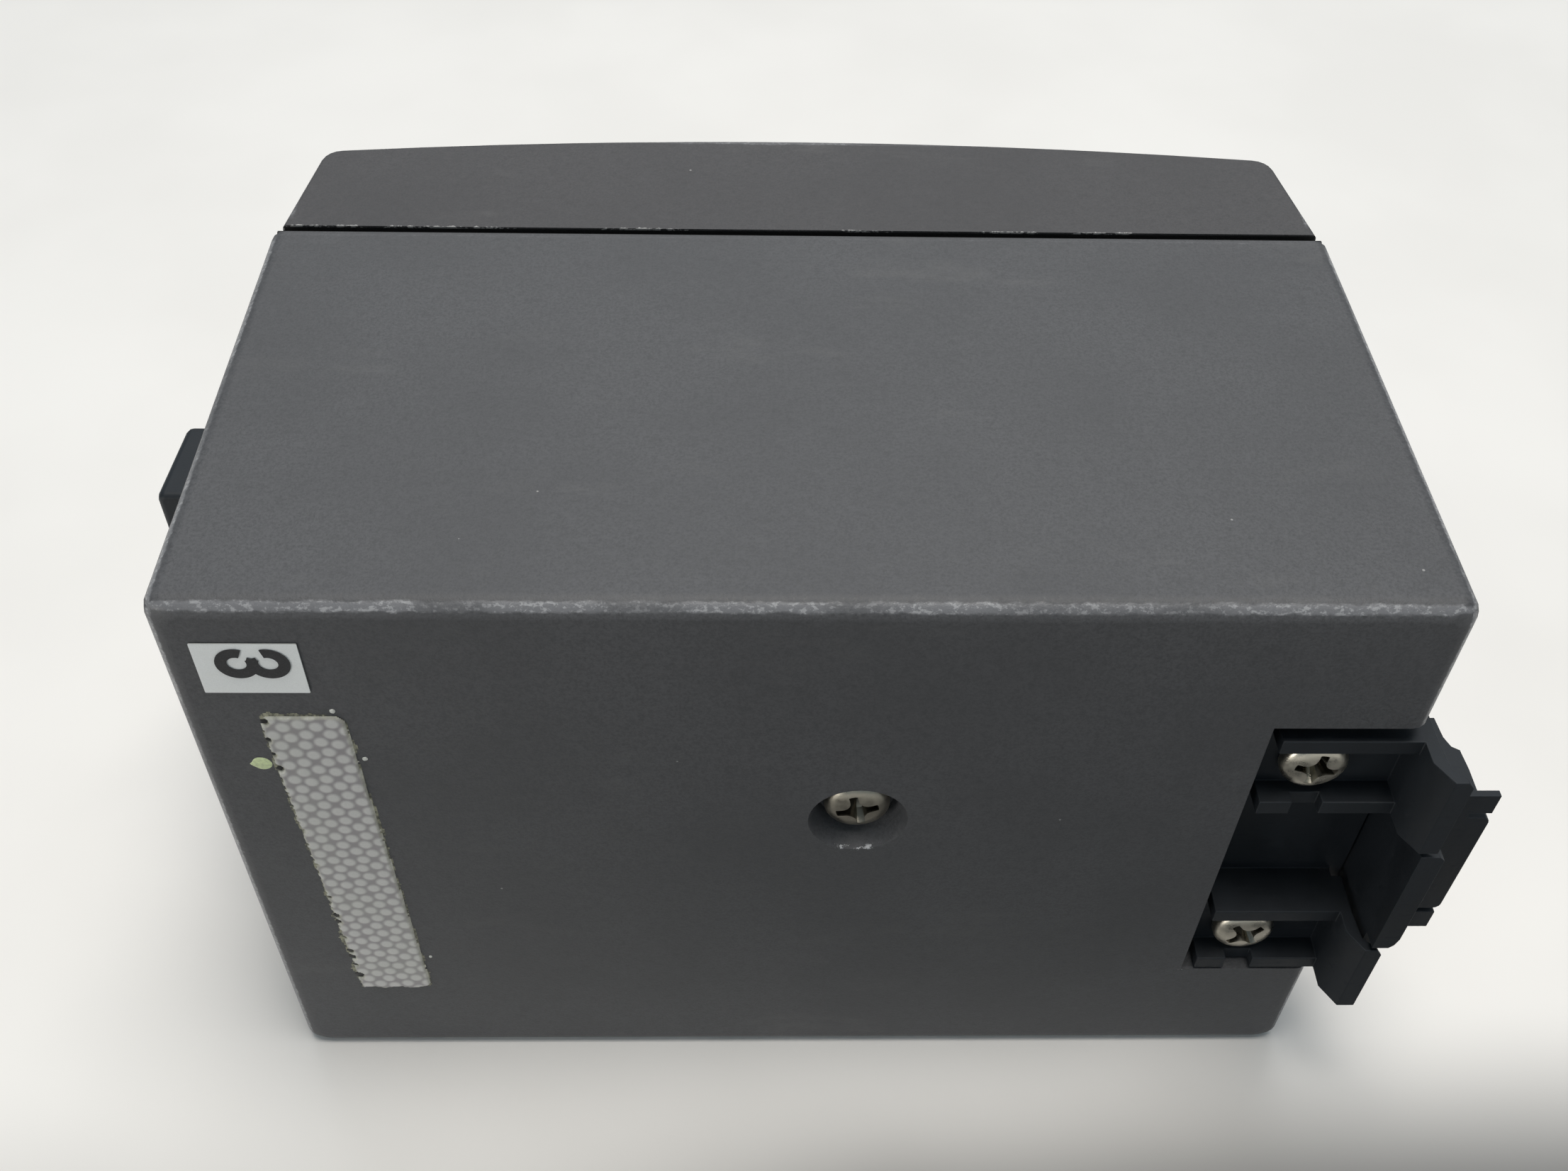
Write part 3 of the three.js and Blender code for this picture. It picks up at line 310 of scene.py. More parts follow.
def case_paint(name, colour, low, high, rim, wear_and_highlight_strength, nicked_and_highlit=()):
    """Fine spark-textured plastic: mottled and scuffed, rubbed pale along its edges with a painted
    highlight there, with chips at its rim and painted shade on its rim face.

    rim is where the edge with chips lies along Y, and the strength argument after it sets how strongly the
    other edges are rubbed pale and painted with a highlight.
    Each ring is (x, z, radius), painted pale along its lowest part: nicks, and a painted highlight on the
    edge there that faces up.
    """
    paint = Paint(name)
    grain = paint.noise(0.34, detail=3, roughness=0.6)
    fine = paint.noise(0.15, detail=1)
    cloud = paint.noise(22, detail=3, roughness=0.6)
    smear = paint.noise(9, detail=4, roughness=0.65, stretch=(0.35, 1, 1))
    mottle = paint.noise(0.9, detail=3, roughness=0.7)
    tone = paint.blend(paint.span(grain, 0.3, 0.7), scaled(colour, 0.74), scaled(colour, 1.28))
    tone = paint.blend(paint.span(fine, 0.3, 0.8, 0.0, 0.35), tone, scaled(colour, 1.5))
    tone = paint.blend(paint.span(mottle, 0.52, 0.7, 0.0, 0.5), tone, scaled(colour, 1.35))
    tone = paint.blend(paint.span(mottle, 0.30, 0.46, 0.4, 0.0), tone, scaled(colour, 0.7))
    tone = paint.blend(paint.span(cloud, 0.35, 0.7, 0.0, 0.35), tone, scaled(colour, 0.78))
    tone = paint.blend(paint.span(smear, 0.58, 0.75, 0.0, 0.16), tone, (0.16, 0.155, 0.15))
    patchy = paint.noise(1.1, detail=3, roughness=0.7, stretch=(0.5, 1, 1))
    along = paint.noise(14, detail=2)
    # Rubbed edge band: real wear, paler and smoother, with a painted highlight along the rounded edges.
    reach = paint.calc("ADD", edge_distance(paint, low, high), paint.calc("MULTIPLY", patchy, 0.7))
    wear_and_highlight = paint.span(reach, 1.2, 1.5, 1.0, 0.0)
    wear_and_highlight = paint.calc("MULTIPLY", wear_and_highlight, paint.span(along, 0.35, 0.55, 0.4 * wear_and_highlight_strength, wear_and_highlight_strength))
    from_rim = paint.calc("ABSOLUTE", paint.calc("SUBTRACT", paint.coordinate("Y"), rim))
    wear_and_highlight = paint.calc("MULTIPLY", wear_and_highlight, paint.span(from_rim, 1.0, 2.5))
    nicks = paint.noise(0.5, detail=3, roughness=0.7, stretch=(0.7, 1, 1))
    nick_zone = paint.span(paint.noise(9, detail=2), 0.4, 0.6, 0.35, 1.0)
    nick_reach = paint.calc("MULTIPLY", nicks, nick_zone)
    nick_reach = paint.calc("SUBTRACT", nick_reach, paint.calc("MULTIPLY", from_rim, 0.8))
    skin = paint.calc("MINIMUM", paint.skin_gap("X", low.x, high.x), paint.skin_gap("Z", low.z, high.z))
    chip = paint.calc("MULTIPLY", paint.span(nick_reach, 0.44, 0.52), paint.span(skin, 0.12, 0.3, 1.0, 0.0))
    # Painted shade: the rim face inside the gap between cover and housing is darkened to near black, away
    # from the outer skin.
    rim_face_shade = paint.calc("MULTIPLY", paint.span(from_rim, 0.05, 0.2, 1.0, 0.0), paint.span(skin, 0.1, 0.3))
    tone = paint.blend(rim_face_shade, tone, scaled(colour, 0.12))
    # Paler colour along the rubbed edges and paler flecks in it: wear with a painted highlight.
    tone = paint.blend(paint.calc("MULTIPLY", wear_and_highlight, 0.8), tone, (0.19, 0.19, 0.2))
    pale_flecks_and_highlight = paint.calc("MULTIPLY", wear_and_highlight, paint.span(nicks, 0.5, 0.62))
    tone = paint.blend(paint.calc("MULTIPLY", pale_flecks_and_highlight, 0.6), tone, (0.4, 0.4, 0.41))
    tone = paint.blend(paint.calc("MULTIPLY", chip, 0.85), tone, (0.42, 0.41, 0.4))
    dots = paint.noise(3.4, kind="cells")
    rare = paint.calc("GREATER_THAN", paint.node_value(dots, "Color"), 0.965)
    speck = paint.calc("MULTIPLY", rare, paint.span(dots.outputs["Distance"], 0.03, 0.05, 1.0, 0.0))
    tone = paint.blend(paint.calc("MULTIPLY", speck, 0.6), tone, (0.42, 0.41, 0.4))
    # Pale nicks with a painted highlight along the lowest edge of each ring, where the edge faces up.
    for x, z, radius in nicked_and_highlit:
        off_x = paint.calc("SUBTRACT", paint.coordinate("X"), x)
        off_z = paint.calc("SUBTRACT", paint.coordinate("Z"), z)
        squares = paint.calc("ADD", paint.calc("POWER", off_x, 2), paint.calc("POWER", off_z, 2))
        away = paint.calc("SQRT", squares)
        ring = paint.span(paint.calc("ABSOLUTE", paint.calc("SUBTRACT", away, radius)), 0.08, 0.3, 1.0, 0.0)
        on_face = paint.span(paint.coordinate("Y"), low.y + 0.25, low.y + 0.6, 1.0, 0.0)
        ring = paint.calc("MULTIPLY", ring, on_face)
        low_part = paint.span(off_z, -0.93 * radius, -0.82 * radius, 1.0, 0.0)
        nick_and_highlight = paint.calc("MULTIPLY", paint.calc("MULTIPLY", ring, low_part), paint.span(nicks, 0.5, 0.6))
        tone = paint.blend(nick_and_highlight, tone, (0.5, 0.5, 0.51))
    rough = paint.span(grain, 0.2, 0.8, 0.5, 0.68)
    rough = paint.calc("SUBTRACT", rough, paint.calc("MULTIPLY", wear_and_highlight, 0.2))
    height = paint.calc("ADD", grain, paint.calc("MULTIPLY", fine, 0.4))
    return paint.finish(tone, rough, paint.bump(height, 0.035), Specular_IOR_Level=0.5)


DUST = (0.2, 0.2, 0.2)


def moulded_paint(name, colour, roughness=0.4, dust=0.15, dust_colour=DUST, shine=0.5):
    """Smooth moulded plastic with faint texture, flow marks, rubbed spots and a little dust."""
    paint = Paint(name)
    grain = paint.noise(0.3, detail=3, roughness=0.6)
    flow = paint.noise(6, detail=4, roughness=0.6, stretch=(1, 1, 0.4))
    scuff = paint.noise(1.6, detail=5, roughness=0.75, stretch=(0.25, 1, 1))
    tone = paint.blend(paint.span(flow, 0.3, 0.7), scaled(colour, 0.8), scaled(colour, 1.2))
    tone = paint.blend(paint.span(grain, 0.35, 0.75, 0.0, 0.25), tone, scaled(colour, 1.7))
    tone = paint.blend(paint.span(scuff, 0.56, 0.72, 0.0, dust), tone, dust_colour)
    rough = paint.span(flow, 0.3, 0.7, roughness - 0.06, roughness + 0.08)
    rough = paint.calc("ADD", rough, paint.span(scuff, 0.55, 0.7, 0.0, 0.15), clamp=True)
    normal = paint.bump(flow, 0.05, paint.bump(grain, 0.008))
    return paint.finish(tone, rough, normal, Specular_IOR_Level=shine)


def metal_paint(name, colour, roughness=0.3, stain=(0.25, 0.22, 0.18), stretch=(1, 1, 1), recess=False):
    """Plated or drawn metal with fine marks, dull patches and a few stains; recesses can carry painted
    shade.
    """
    paint = Paint(name)
    marks = paint.noise(0.18, detail=4, roughness=0.7, stretch=stretch)
    patch = paint.noise(1.4, detail=4, roughness=0.65)
    tone = paint.blend(paint.span(patch, 0.3, 0.7), scaled(colour, 0.86), scaled(colour, 1.1))
    tone = paint.blend(paint.span(patch, 0.6, 0.8, 0.0, 0.5), tone, stain)
    if recess:
        # Painted shade in a screw's cross recess, where the "inside" value is set.
        recess_shade = paint.calc("MULTIPLY", paint.attribute("inside"), 0.86)
        tone = paint.blend(recess_shade, tone, (0.05, 0.042, 0.03))
    rough = paint.span(patch, 0.3, 0.75, roughness - 0.08, roughness + 0.14)
    rough = paint.calc("ADD", rough, paint.span(marks, 0.3, 0.8, 0.0, 0.1))
    return paint.finish(tone, rough, paint.bump(marks, 0.006), metallic=1.0)


def label_paint():
    paint = Paint("label")
    fibre = paint.noise(0.12, detail=3, roughness=0.7)
    stain = paint.noise(3.5, detail=4, roughness=0.6)
    tone = paint.blend(paint.span(fibre, 0.3, 0.7), (0.79, 0.80, 0.79), (0.85, 0.86, 0.85))
    tone = paint.blend(paint.span(stain, 0.55, 0.8, 0.0, 0.2), tone, (0.76, 0.74, 0.66))
    facing = paint.node("ShaderNodeSeparateXYZ")
    paint.put(facing.inputs["Vector"], paint.node("ShaderNodeNewGeometry").outputs["True Normal"])
    side = paint.span(paint.calc("ABSOLUTE", facing.outputs["Y"]), 0.5, 0.95, 0.75, 0.0)
    tone = paint.blend(side, tone, (0.22, 0.22, 0.21))
    return paint.finish(tone, paint.span(fibre, 0.3, 0.7, 0.42, 0.55), paint.bump(fibre, 0.004))


def ink_paint():
    paint = Paint("ink")
    fibre = paint.noise(0.14, detail=3, roughness=0.7)
    tone = paint.blend(paint.span(fibre, 0.45, 0.8), (0.016, 0.016, 0.018), (0.06, 0.06, 0.062))
    return paint.finish(tone, paint.span(fibre, 0.3, 0.7, 0.4, 0.6), paint.bump(fibre, 0.004))


def film_paint():
    """Reflective film: pale soft cells in a grey web, yellowed and dirty at the rim."""
    paint = Paint("film")
    cell = paint.attribute("cell")
    rim = paint.attribute("rim")
    grain = paint.noise(0.2, detail=3, roughness=0.6)
    cloud = paint.noise(7, detail=3)
    tone = paint.blend(cell, (0.30, 0.28, 0.285), (0.58, 0.57, 0.55))
    tone = paint.blend(paint.span(cloud, 0.4, 0.7, 0.0, 0.14), tone, (0.46, 0.49, 0.40))
    tone = paint.blend(paint.span(grain, 0.4, 0.8, 0.0, 0.16), tone, (0.42, 0.42, 0.41))
    yellowed = paint.calc("MULTIPLY", rim, paint.span(grain, 0.3, 0.7, 0.4, 1.0))
    tone = paint.blend(yellowed, tone, (0.43, 0.42, 0.33))
    rough = paint.span(grain, 0.3, 0.7, 0.32, 0.5)
    return paint.finish(tone, rough, paint.bump(grain, 0.01), Coat_Weight=0.25, Coat_Roughness=0.25)


def residue_paint():
    paint = Paint("residue")
    blotch = paint.noise(0.8, detail=4, roughness=0.7)
    tone = paint.blend(paint.span(blotch, 0.35, 0.65), (0.05, 0.05, 0.04), (0.34, 0.33, 0.24))
    return paint.finish(tone, paint.span(blotch, 0.3, 0.7, 0.5, 0.8), paint.bump(blotch, 0.03))


def dab_paint(name, colour):
    paint = Paint(name)
    streak = paint.noise(0.5, detail=4, roughness=0.6)
    tone = paint.blend(paint.span(streak, 0.3, 0.7), scaled(colour, 0.82), scaled(colour, 1.15))
    return paint.finish(tone, paint.span(streak, 0.3, 0.7, 0.35, 0.55), paint.bump(streak, 0.02))


def board_paint():
    """Solder mask over copper tracks, with pads in rows."""
    paint = Paint("board")
    tracks = paint.noise(2.6, kind="cells")
    tracks.distance = "MANHATTAN"
    line = paint.span(tracks.outputs["Distance"], 0.42, 0.46)
    weave = paint.noise(0.5, detail=2, stretch=(1, 1, 0.3))
    tone = paint.blend(line, (0.010, 0.085, 0.035), (0.02, 0.15, 0.06))
    tone = paint.blend(paint.span(weave, 0.3, 0.7, 0.0, 0.4), tone, (0.008, 0.065, 0.03))
    pads = paint.noise(5.1, kind="cells")
    pads.inputs["Randomness"].default_value = 0.35
    pad = paint.span(pads.outputs["Distance"], 0.10, 0.12, 1.0, 0.0)
    tone = paint.blend(pad, tone, (0.55, 0.53, 0.47))
    rough = paint.span(weave, 0.2, 0.8, 0.3, 0.45)
    height = paint.calc("ADD", line, pad)
    return paint.finish(tone, rough, paint.bump(height, 0.03), metallic=paint.calc("MULTIPLY", pad, 0.8))


def laminated_paint():
    """Stacked iron sheets with varnish, browner where the winding shows."""
    paint = Paint("laminated")
    sheets = paint.noise(0.5, detail=1, stretch=(0.02, 1, 0.02))
    varnish = paint.noise(3, detail=4)
    tone = paint.blend(paint.span(sheets, 0.4, 0.6), (0.10, 0.085, 0.075), (0.24, 0.17, 0.12))
    tone = paint.blend(paint.span(varnish, 0.5, 0.75, 0.0, 0.6), tone, (0.27, 0.10, 0.035))
    rough = paint.span(varnish, 0.3, 0.7, 0.3, 0.5)
    return paint.finish(tone, rough, paint.bump(sheets, 0.05), metallic=0.3)


def clear_paint(name, colour, roughness, see_through):
    paint = Paint(name)
    haze = paint.noise(1.8, detail=4, roughness=0.6)
    marks = paint.noise(0.5, detail=5, roughness=0.8, stretch=(0.15, 1, 1))
    tone = paint.blend(paint.span(haze, 0.3, 0.7), scaled(colour, 0.9), scaled(colour, 1.1))
    rough = paint.span(haze, 0.3, 0.8, roughness, roughness + 0.08)
    rough = paint.calc("ADD", rough, paint.span(marks, 0.6, 0.75, 0.0, 0.15))
    return paint.finish(tone, rough, paint.bump(marks, 0.004), Transmission_Weight=see_through, IOR=1.49)


HOUSING_GREY = (0.066, 0.066, 0.070)
COVER_GREY = (0.052, 0.0495, 0.0515)
COVER_LOW, COVER_HIGH = box_mm("front_cover")
SCREW_LOW, SCREW_HIGH = box_mm("rear_screw")
# Two places on the rear face as (x, z, radius), pale along their lowest edge with nicks and a painted
# highlight: the screw's counterbore and the pocket's corner.
COUNTERBORE_RADIUS = 5.35
REAR_RING = ((SCREW_LOW.x + SCREW_HIGH.x) / 2, (SCREW_LOW.z + SCREW_HIGH.z) / 2, COUNTERBORE_RADIUS)
POCKET_CORNER = (46.3, 18.6, 0.6)

# What each material slot is painted with, and the nodes that differ from their slot.
PAINTS = {
    "housing": case_paint(
        "case", HOUSING_GREY, CASE_LOW, CASE_HIGH, rim=FRONT + 0.35, wear_and_highlight_strength=1.0,
        nicked_and_highlit=(REAR_RING, POCKET_CORNER),
    ),
    "black": moulded_paint(
        "black", (0.0100, 0.0130, 0.0170), roughness=0.56, dust=0.12,
        dust_colour=(0.05, 0.06, 0.07), shine=0.38,
    ),
    "nickel": metal_paint("nickel", (0.62, 0.585, 0.50), roughness=0.3, recess=True),
    "steel": metal_paint("steel", (0.45, 0.46, 0.47), roughness=0.3),
    "brass": metal_paint("brass", (0.62, 0.45, 0.2), roughness=0.28),
    "white": label_paint(),
    "ink": ink_paint(),
    "reflective": film_paint(),
    "board": board_paint(),
    "part_black": moulded_paint("part_black", (0.02, 0.021, 0.022), roughness=0.5),
    "relay": moulded_paint("relay", (0.024, 0.072, 0.24), roughness=0.38),
    "copper": laminated_paint(),
    "aluminium": metal_paint("aluminium", (0.5, 0.51, 0.52), roughness=0.38, stretch=(1, 0.1, 1)),
    "can": moulded_paint("can", (0.023, 0.035, 0.08), roughness=0.3),
    "terminal": moulded_paint("terminal", (0.045, 0.15, 0.07), roughness=0.48),
    "window": clear_paint("window", (0.05, 0.035, 0.035), roughness=0.08, see_through=0.15),
    "glass": clear_paint("glass", (0.8, 0.84, 0.86), roughness=0.12, see_through=0.6),
    "legend": moulded_paint(
        "legend", (0.5, 0.51, 0.5), roughness=0.5, dust=0.3, dust_colour=(0.36, 0.34, 0.3),
    ),
}
OTHER_PAINTS = {
    "front_cover": case_paint(
        "cover_case", COVER_GREY, COVER_LOW, COVER_HIGH, rim=COVER_LOW.y, wear_and_highlight_strength=0.5,
    ),
    "inner_frame": moulded_paint("frame_black", (0.012, 0.012, 0.013), roughness=0.6),
    "hook_spring": metal_paint("phosphated", (0.035, 0.036, 0.038), roughness=0.45),
    "latch_spring": metal_paint("phosphated_small", (0.035, 0.036, 0.038), roughness=0.45),
    "rear_screw": metal_paint("dull_nickel", (0.43, 0.40, 0.335), roughness=0.34, recess=True),
}


# ---------- the pieces with shapes of their own ----------


SCREW_TURN = {"rear_screw": 14, "bracket_screw_upper": -10, "bracket_screw_lower": 40}
# The head's height, then its dome as (share of the radius, drop below the top), then the threaded shank.
HEAD_TALL = 2.1
HEAD_DOME = (
    (0.3, 0.01), (0.5, 0.05), (0.66, 0.15), (0.8, 0.33),
    (0.9, 0.56), (0.965, 0.85), (0.995, 1.15), (1, 1.35),
)
SHANK_SHARE = 0.55
ROOT_SHARE = 0.86
THREAD_PITCH = 0.7
RECESS_SHARE = 0.66


def cross_outline(reach, turned):
    """A cross with flared inner corners, seen along its axis and turned by an angle in degrees."""
    half, flare = reach * 0.2, reach * 0.46
    quarter = [(reach * 0.97, -half), (reach, -half * 0.5), (reach, half * 0.5), (reach * 0.97, half)]
    for i in range(7):
        turn = math.radians(-90 - 15 * i)
        quarter.append((half + flare + flare * math.cos(turn), half + flare + flare * math.sin(turn)))
    outline = []
    for k in range(4):
        c, s = math.cos(math.radians(90 * k + turned)), math.sin(math.radians(90 * k + turned))
        outline += [(u * c - v * s, u * s + v * c) for u, v in quarter]
    return outline


def cross_tool(x, z, top, reach, turned):
    """What the driver takes out of a screw head: narrowing with depth, ended by a blunt point."""
    mesh = bmesh.new()
    rings = []
    for y, share in ((top - 0.3, 1.03), (top + 0.3, 0.97), (top + 1.7, 0.66), (top + 2.2, 0.3)):
        outline = cross_outline(reach, turned)
        rings.append([mesh.verts.new((x + u * share, y, z + v * share)) for u, v in outline])
    mesh.faces.new(rings[0])
    mesh.faces.new(rings[-1][::-1])
    for a, b in zip(rings, rings[1:]):
        for i in range(len(a)):
            j = (i + 1) % len(a)
            mesh.faces.new((a[j], a[i], b[i], b[j]))
    bmesh.ops.recalc_face_normals(mesh, faces=mesh.faces)
    return mesh


def make_screw(node):
    """A pan-head screw with a dished cross recess whose arms are rounded."""
    low, high = box_mm(node)
    x, z = (low.x + high.x) / 2, (low.z + high.z) / 2
    radius = (high.x - low.x) / 2
    top, foot = low.y, high.y
    seat = top + HEAD_TALL
    shank = radius * SHANK_SHARE
    profile = [(0, top)]
    for share, drop in HEAD_DOME:
        profile.append((radius * share, top + drop))
    profile += [(radius, seat - 0.18), (radius * 0.985, seat - 0.05), (radius * 0.94, seat), (shank, seat)]
    thread = foot - seat - 1.5
    turns = int(thread / THREAD_PITCH)
    for i in range(turns):
        y = seat + 0.4 + i * thread / turns
        profile += [(shank, y), (shank * ROOT_SHARE, y + 0.3)]
    profile += [(shank * ROOT_SHARE, foot - 0.9), (shank * 0.6, foot), (0, foot)]
    body = lathe(profile, (x, z), 64)
    turned = SCREW_TURN[node]
    tool = cross_tool(x, z, top, radius * RECESS_SHARE, turned)
    cut = combine(body, tool, "DIFFERENCE")
    # Painted shade in the cross recess: the "inside" value darkens each arm, less so the arm pointing down,
    # which is left lit where it faces the overhead lamp.
    inside = cut.verts.layers.float.new("inside")
    for vert in cut.verts:
        across, up = vert.co.x - x, vert.co.z - z
        if math.hypot(across, up) > radius * 0.7 or not top + 0.28 < vert.co.y < top + 2.6:
            continue
        lit = 0.0
        for k in range(4):
            way = math.radians(90 * k + turned)
            along = across * math.cos(way) + up * math.sin(way)
            if math.sin(way) < -0.6 and along > radius * 0.2:
                lit = -math.sin(way) ** 3
        vert[inside] = 1.0 - 0.95 * lit
    return show(cut, node, angle=30)


LABEL_CORNER = 0.12


def make_label():
    """A cut sticker: thin, with slightly rounded corners."""
    low, high = box_mm("number_label")
    outline = []
    radius = LABEL_CORNER
    for cx, cz, start in (
        (high.x - radius, low.z + radius, -90), (high.x - radius, high.z - radius, 0),
        (low.x + radius, high.z - radius, 90), (low.x + radius, low.z + radius, 180),
    ):
        for i in range(7):
            turn = math.radians(start + i * 15)
            outline.append((cx + radius * math.cos(turn), cz + radius * math.sin(turn)))
    mesh = prism(outline, "y", low.y, high.y)
    return show(round_edges(mesh, 0.04, 2), "number_label")


DIGIT_STROKE = 1.12
# Where each bowl of the figure starts and ends, in half turns from +X.
DIGIT_ARCS = {-1: (0.38, 2.14), 1: (0.86, 2.58)}


def digit_outline(side, steps=40):
    """One bowl of the lying figure, as an open ring whose ends are cut square."""
    low, high = box_mm("number_digit")
    wide = (high.x - low.x - DIGIT_STROKE) / 4
    tall = (high.z - low.z - DIGIT_STROKE) / 2
    x = (low.x + high.x) / 2 + side * wide
    z = (low.z + high.z) / 2
    start, end = DIGIT_ARCS[side]
    outer, inner = [], []
    for i in range(steps + 1):
        turn = math.pi * (start + (end - start) * i / steps)
        swell = 1 + 0.06 * max(0.0, -math.sin(turn))
        half = DIGIT_STROKE / 2 * swell
        outer.append((x + (wide + half) * math.cos(turn), z + (tall + half) * math.sin(turn)))
        inner.append((x + (wide - half) * math.cos(turn), z + (tall - half) * math.sin(turn)))
    return outer + inner[::-1]


def make_digit():
    low, high = box_mm("number_digit")
    left = prism(digit_outline(-1), "y", low.y, high.y)
    right = prism(digit_outline(1), "y", low.y, high.y)
    return show(combine(left, right, "UNION"), "number_digit")


# The film's dots stand where squares and triangles meet, four to a square cell.
DOT_SPACING = 1.7
DOT_TURN = math.radians(31.7)
DOT_CELL = DOT_SPACING * (math.sqrt(6) + math.sqrt(2)) / 2
DOT_ORIGIN = (-49.65, 61.9)
DOT_RADIUS = 0.88
DOT_SLOPE = 0.42
DOT_SHIFT = (math.sqrt(3) - 1) / 4
DOT_PLACES = (
    (DOT_SHIFT, DOT_SHIFT + 0.5), (-DOT_SHIFT, 0.5 - DOT_SHIFT),
    (0.5 - DOT_SHIFT, DOT_SHIFT), (0.5 + DOT_SHIFT, -DOT_SHIFT),
)


def dot_height(x, z):
    """1 in the middle of one of the film's dots, 0 between them; they stand on squares and triangles."""
    dx, dz = x - DOT_ORIGIN[0], z - DOT_ORIGIN[1]
    u = (dx * math.cos(DOT_TURN) + dz * math.sin(DOT_TURN)) / DOT_CELL
    v = (dz * math.cos(DOT_TURN) - dx * math.sin(DOT_TURN)) / DOT_CELL
    nearest = 1.0
    for place_u, place_v in DOT_PLACES:
        off_u = u - place_u - round(u - place_u)
        off_v = v - place_v - round(v - place_v)
        nearest = min(nearest, math.hypot(off_u, off_v) * DOT_CELL)
    share = min(1.0, max(0.0, (DOT_RADIUS - nearest) / DOT_SLOPE))
    return share * share * (3 - 2 * share)


STRIP_LOW, STRIP_HIGH = box_mm("reflective_strip")
STRIP_TOP = STRIP_HIGH.z - 0.45
# Bites out of the film's left edge, as (height, size); the deepest hold a near-black drop.
DEEP_BITE = 0.27
BITES = (
    (66.0, 0.42), (63.1, 0.3), (60.7, 0.28), (58.4, 0.42), (47.5, 0.2), (41.0, 0.22), (34.5, 0.25),
    (30.6, 0.42), (29.3, 0.36), (25.9, 0.25), (22.9, 0.4), (21.6, 0.45), (19.8, 0.3), (17.4, 0.55),
)


def strip_sides(z):
    """Where the film's left and right edges run at a height."""
    share = (z - STRIP_LOW.z) / (STRIP_HIGH.z - STRIP_LOW.z)
    left = STRIP_LOW.x + 1.45 * (1 - share) + 0.3 + max(0.0, share - 0.965) * 22
    right = STRIP_HIGH.x - 1.5 * share
    return left, right


def inside_film(x, z):
    """Positive inside the film's ragged outline, in millimetres from its edge."""
    left, right = strip_sides(z)
    rag = 0.22 * noise.noise(Vector((3.0, z * 1.3, 0))) + 0.25 * noise.noise(Vector((5.0, z * 2.7, 0)))
    fray = 0.10 * noise.noise(Vector((7.0, z * 2.9, 0)))
    depth = min(x - left - rag, right - x + fray, STRIP_TOP - z, z - STRIP_LOW.z - 0.15 * math.sin(x * 1.9))
    for bite_z, size in BITES:
        depth = min(depth, math.hypot(x - strip_sides(bite_z)[0] - 0.15, (z - bite_z) * 0.8) - size)
    corners = (
        (right - 1.1, STRIP_TOP - 1.1, 1, 1, 1.1),
        (left + 0.6, STRIP_TOP - 0.6, -1, 1, 0.7),
        (right - 0.8, STRIP_LOW.z + 0.8, 1, -1, 0.7),
    )
    for corner_x, corner_z, way_x, way_z, radius in corners:
        beyond_x, beyond_z = (x - corner_x) * way_x, (z - corner_z) * way_z
        if beyond_x > 0 and beyond_z > 0:
            depth = min(depth, radius - math.hypot(beyond_x, beyond_z))
    return depth


# How far in from a sheet's edge it reaches its full thickness.
SHEET_EASE = 0.15


def sheet_mesh(inside, step, front, back, dome, values, margin=0.0):
    """A thin sheet on the rear face, cut to an outline, with a domed outer side and per-point values."""
    columns = int((STRIP_HIGH.x - STRIP_LOW.x + 2 * margin) / step) + 1
    rows = int((STRIP_HIGH.z - STRIP_LOW.z + 2 * margin) / step) + 1
    mesh = bmesh.new()
    layers = [mesh.verts.layers.float.new(name) for name in values]
    outer = {}
    for i in range(columns + 1):
        for k in range(rows + 1):
            x = STRIP_LOW.x - margin + i * step
            z = STRIP_LOW.z - margin + k * step
            depth = inside(x, z)
            if depth < -step * 0.75:
                continue
            lift = min(1.0, max(0.0, depth) / SHEET_EASE)
            vert = mesh.verts.new((x, back + (front - back) * lift - dome(x, z) * lift, z))
            for layer, value in zip(layers, values.values()):
                vert[layer] = value(x, z, depth)
            outer[i, k] = vert
    for (i, k), vert in list(outer.items()):
        corners = [(i, k), (i + 1, k), (i + 1, k + 1), (i, k + 1)]
        if all(c in outer for c in corners):
            mesh.faces.new([outer[c] for c in corners])
    bmesh.ops.delete(mesh, geom=[v for v in mesh.verts if not v.link_faces], context="VERTS")
    below = {}
    for edge in [e for e in mesh.edges if e.is_boundary]:
        for vert in edge.verts:
            if vert not in below:
                below[vert] = mesh.verts.new((vert.co.x, back, vert.co.z), vert)
        a, b = edge.verts
        mesh.faces.new((a, b, below[b], below[a]))
    bmesh.ops.recalc_face_normals(mesh, faces=mesh.faces)
    if sum(f.normal.y for f in mesh.faces) > 0:
        bmesh.ops.reverse_faces(mesh, faces=mesh.faces)
    return mesh


def make_strip():
    front, back = STRIP_LOW.y + 0.07, STRIP_HIGH.y
    step = 0.16
    mesh = sheet_mesh(
        inside_film, step, front, back,
        lambda x, z: 0.06 * dot_height(x, z),
        {
            "cell": lambda x, z, depth: dot_height(x, z),
            "rim": lambda x, z, depth: max(0.0, 1 - max(0.0, depth) / 0.35),
        },
    )
    return show(mesh, "reflective_strip", angle=60)


def make_residue():
    """What is left of the film's backing, showing past its ragged edges."""
    def inside(x, z):
        patch = noise.noise(Vector((x * 0.6, z * 0.5, 4.0)))
        near_top = 0.25 if z > STRIP_TOP - 0.5 and x < STRIP_HIGH.x - 4.5 else 0.0
        return inside_film(x, z) + 0.12 + near_top + 0.45 * patch

    mesh = sheet_mesh(inside, 0.2, REAR - 0.055, REAR - 0.012, lambda x, z: 0, {}, margin=1.0)
    return add_detail(mesh, "film_residue", "reflective_strip", residue_paint())


BLOB_POINTS = 28


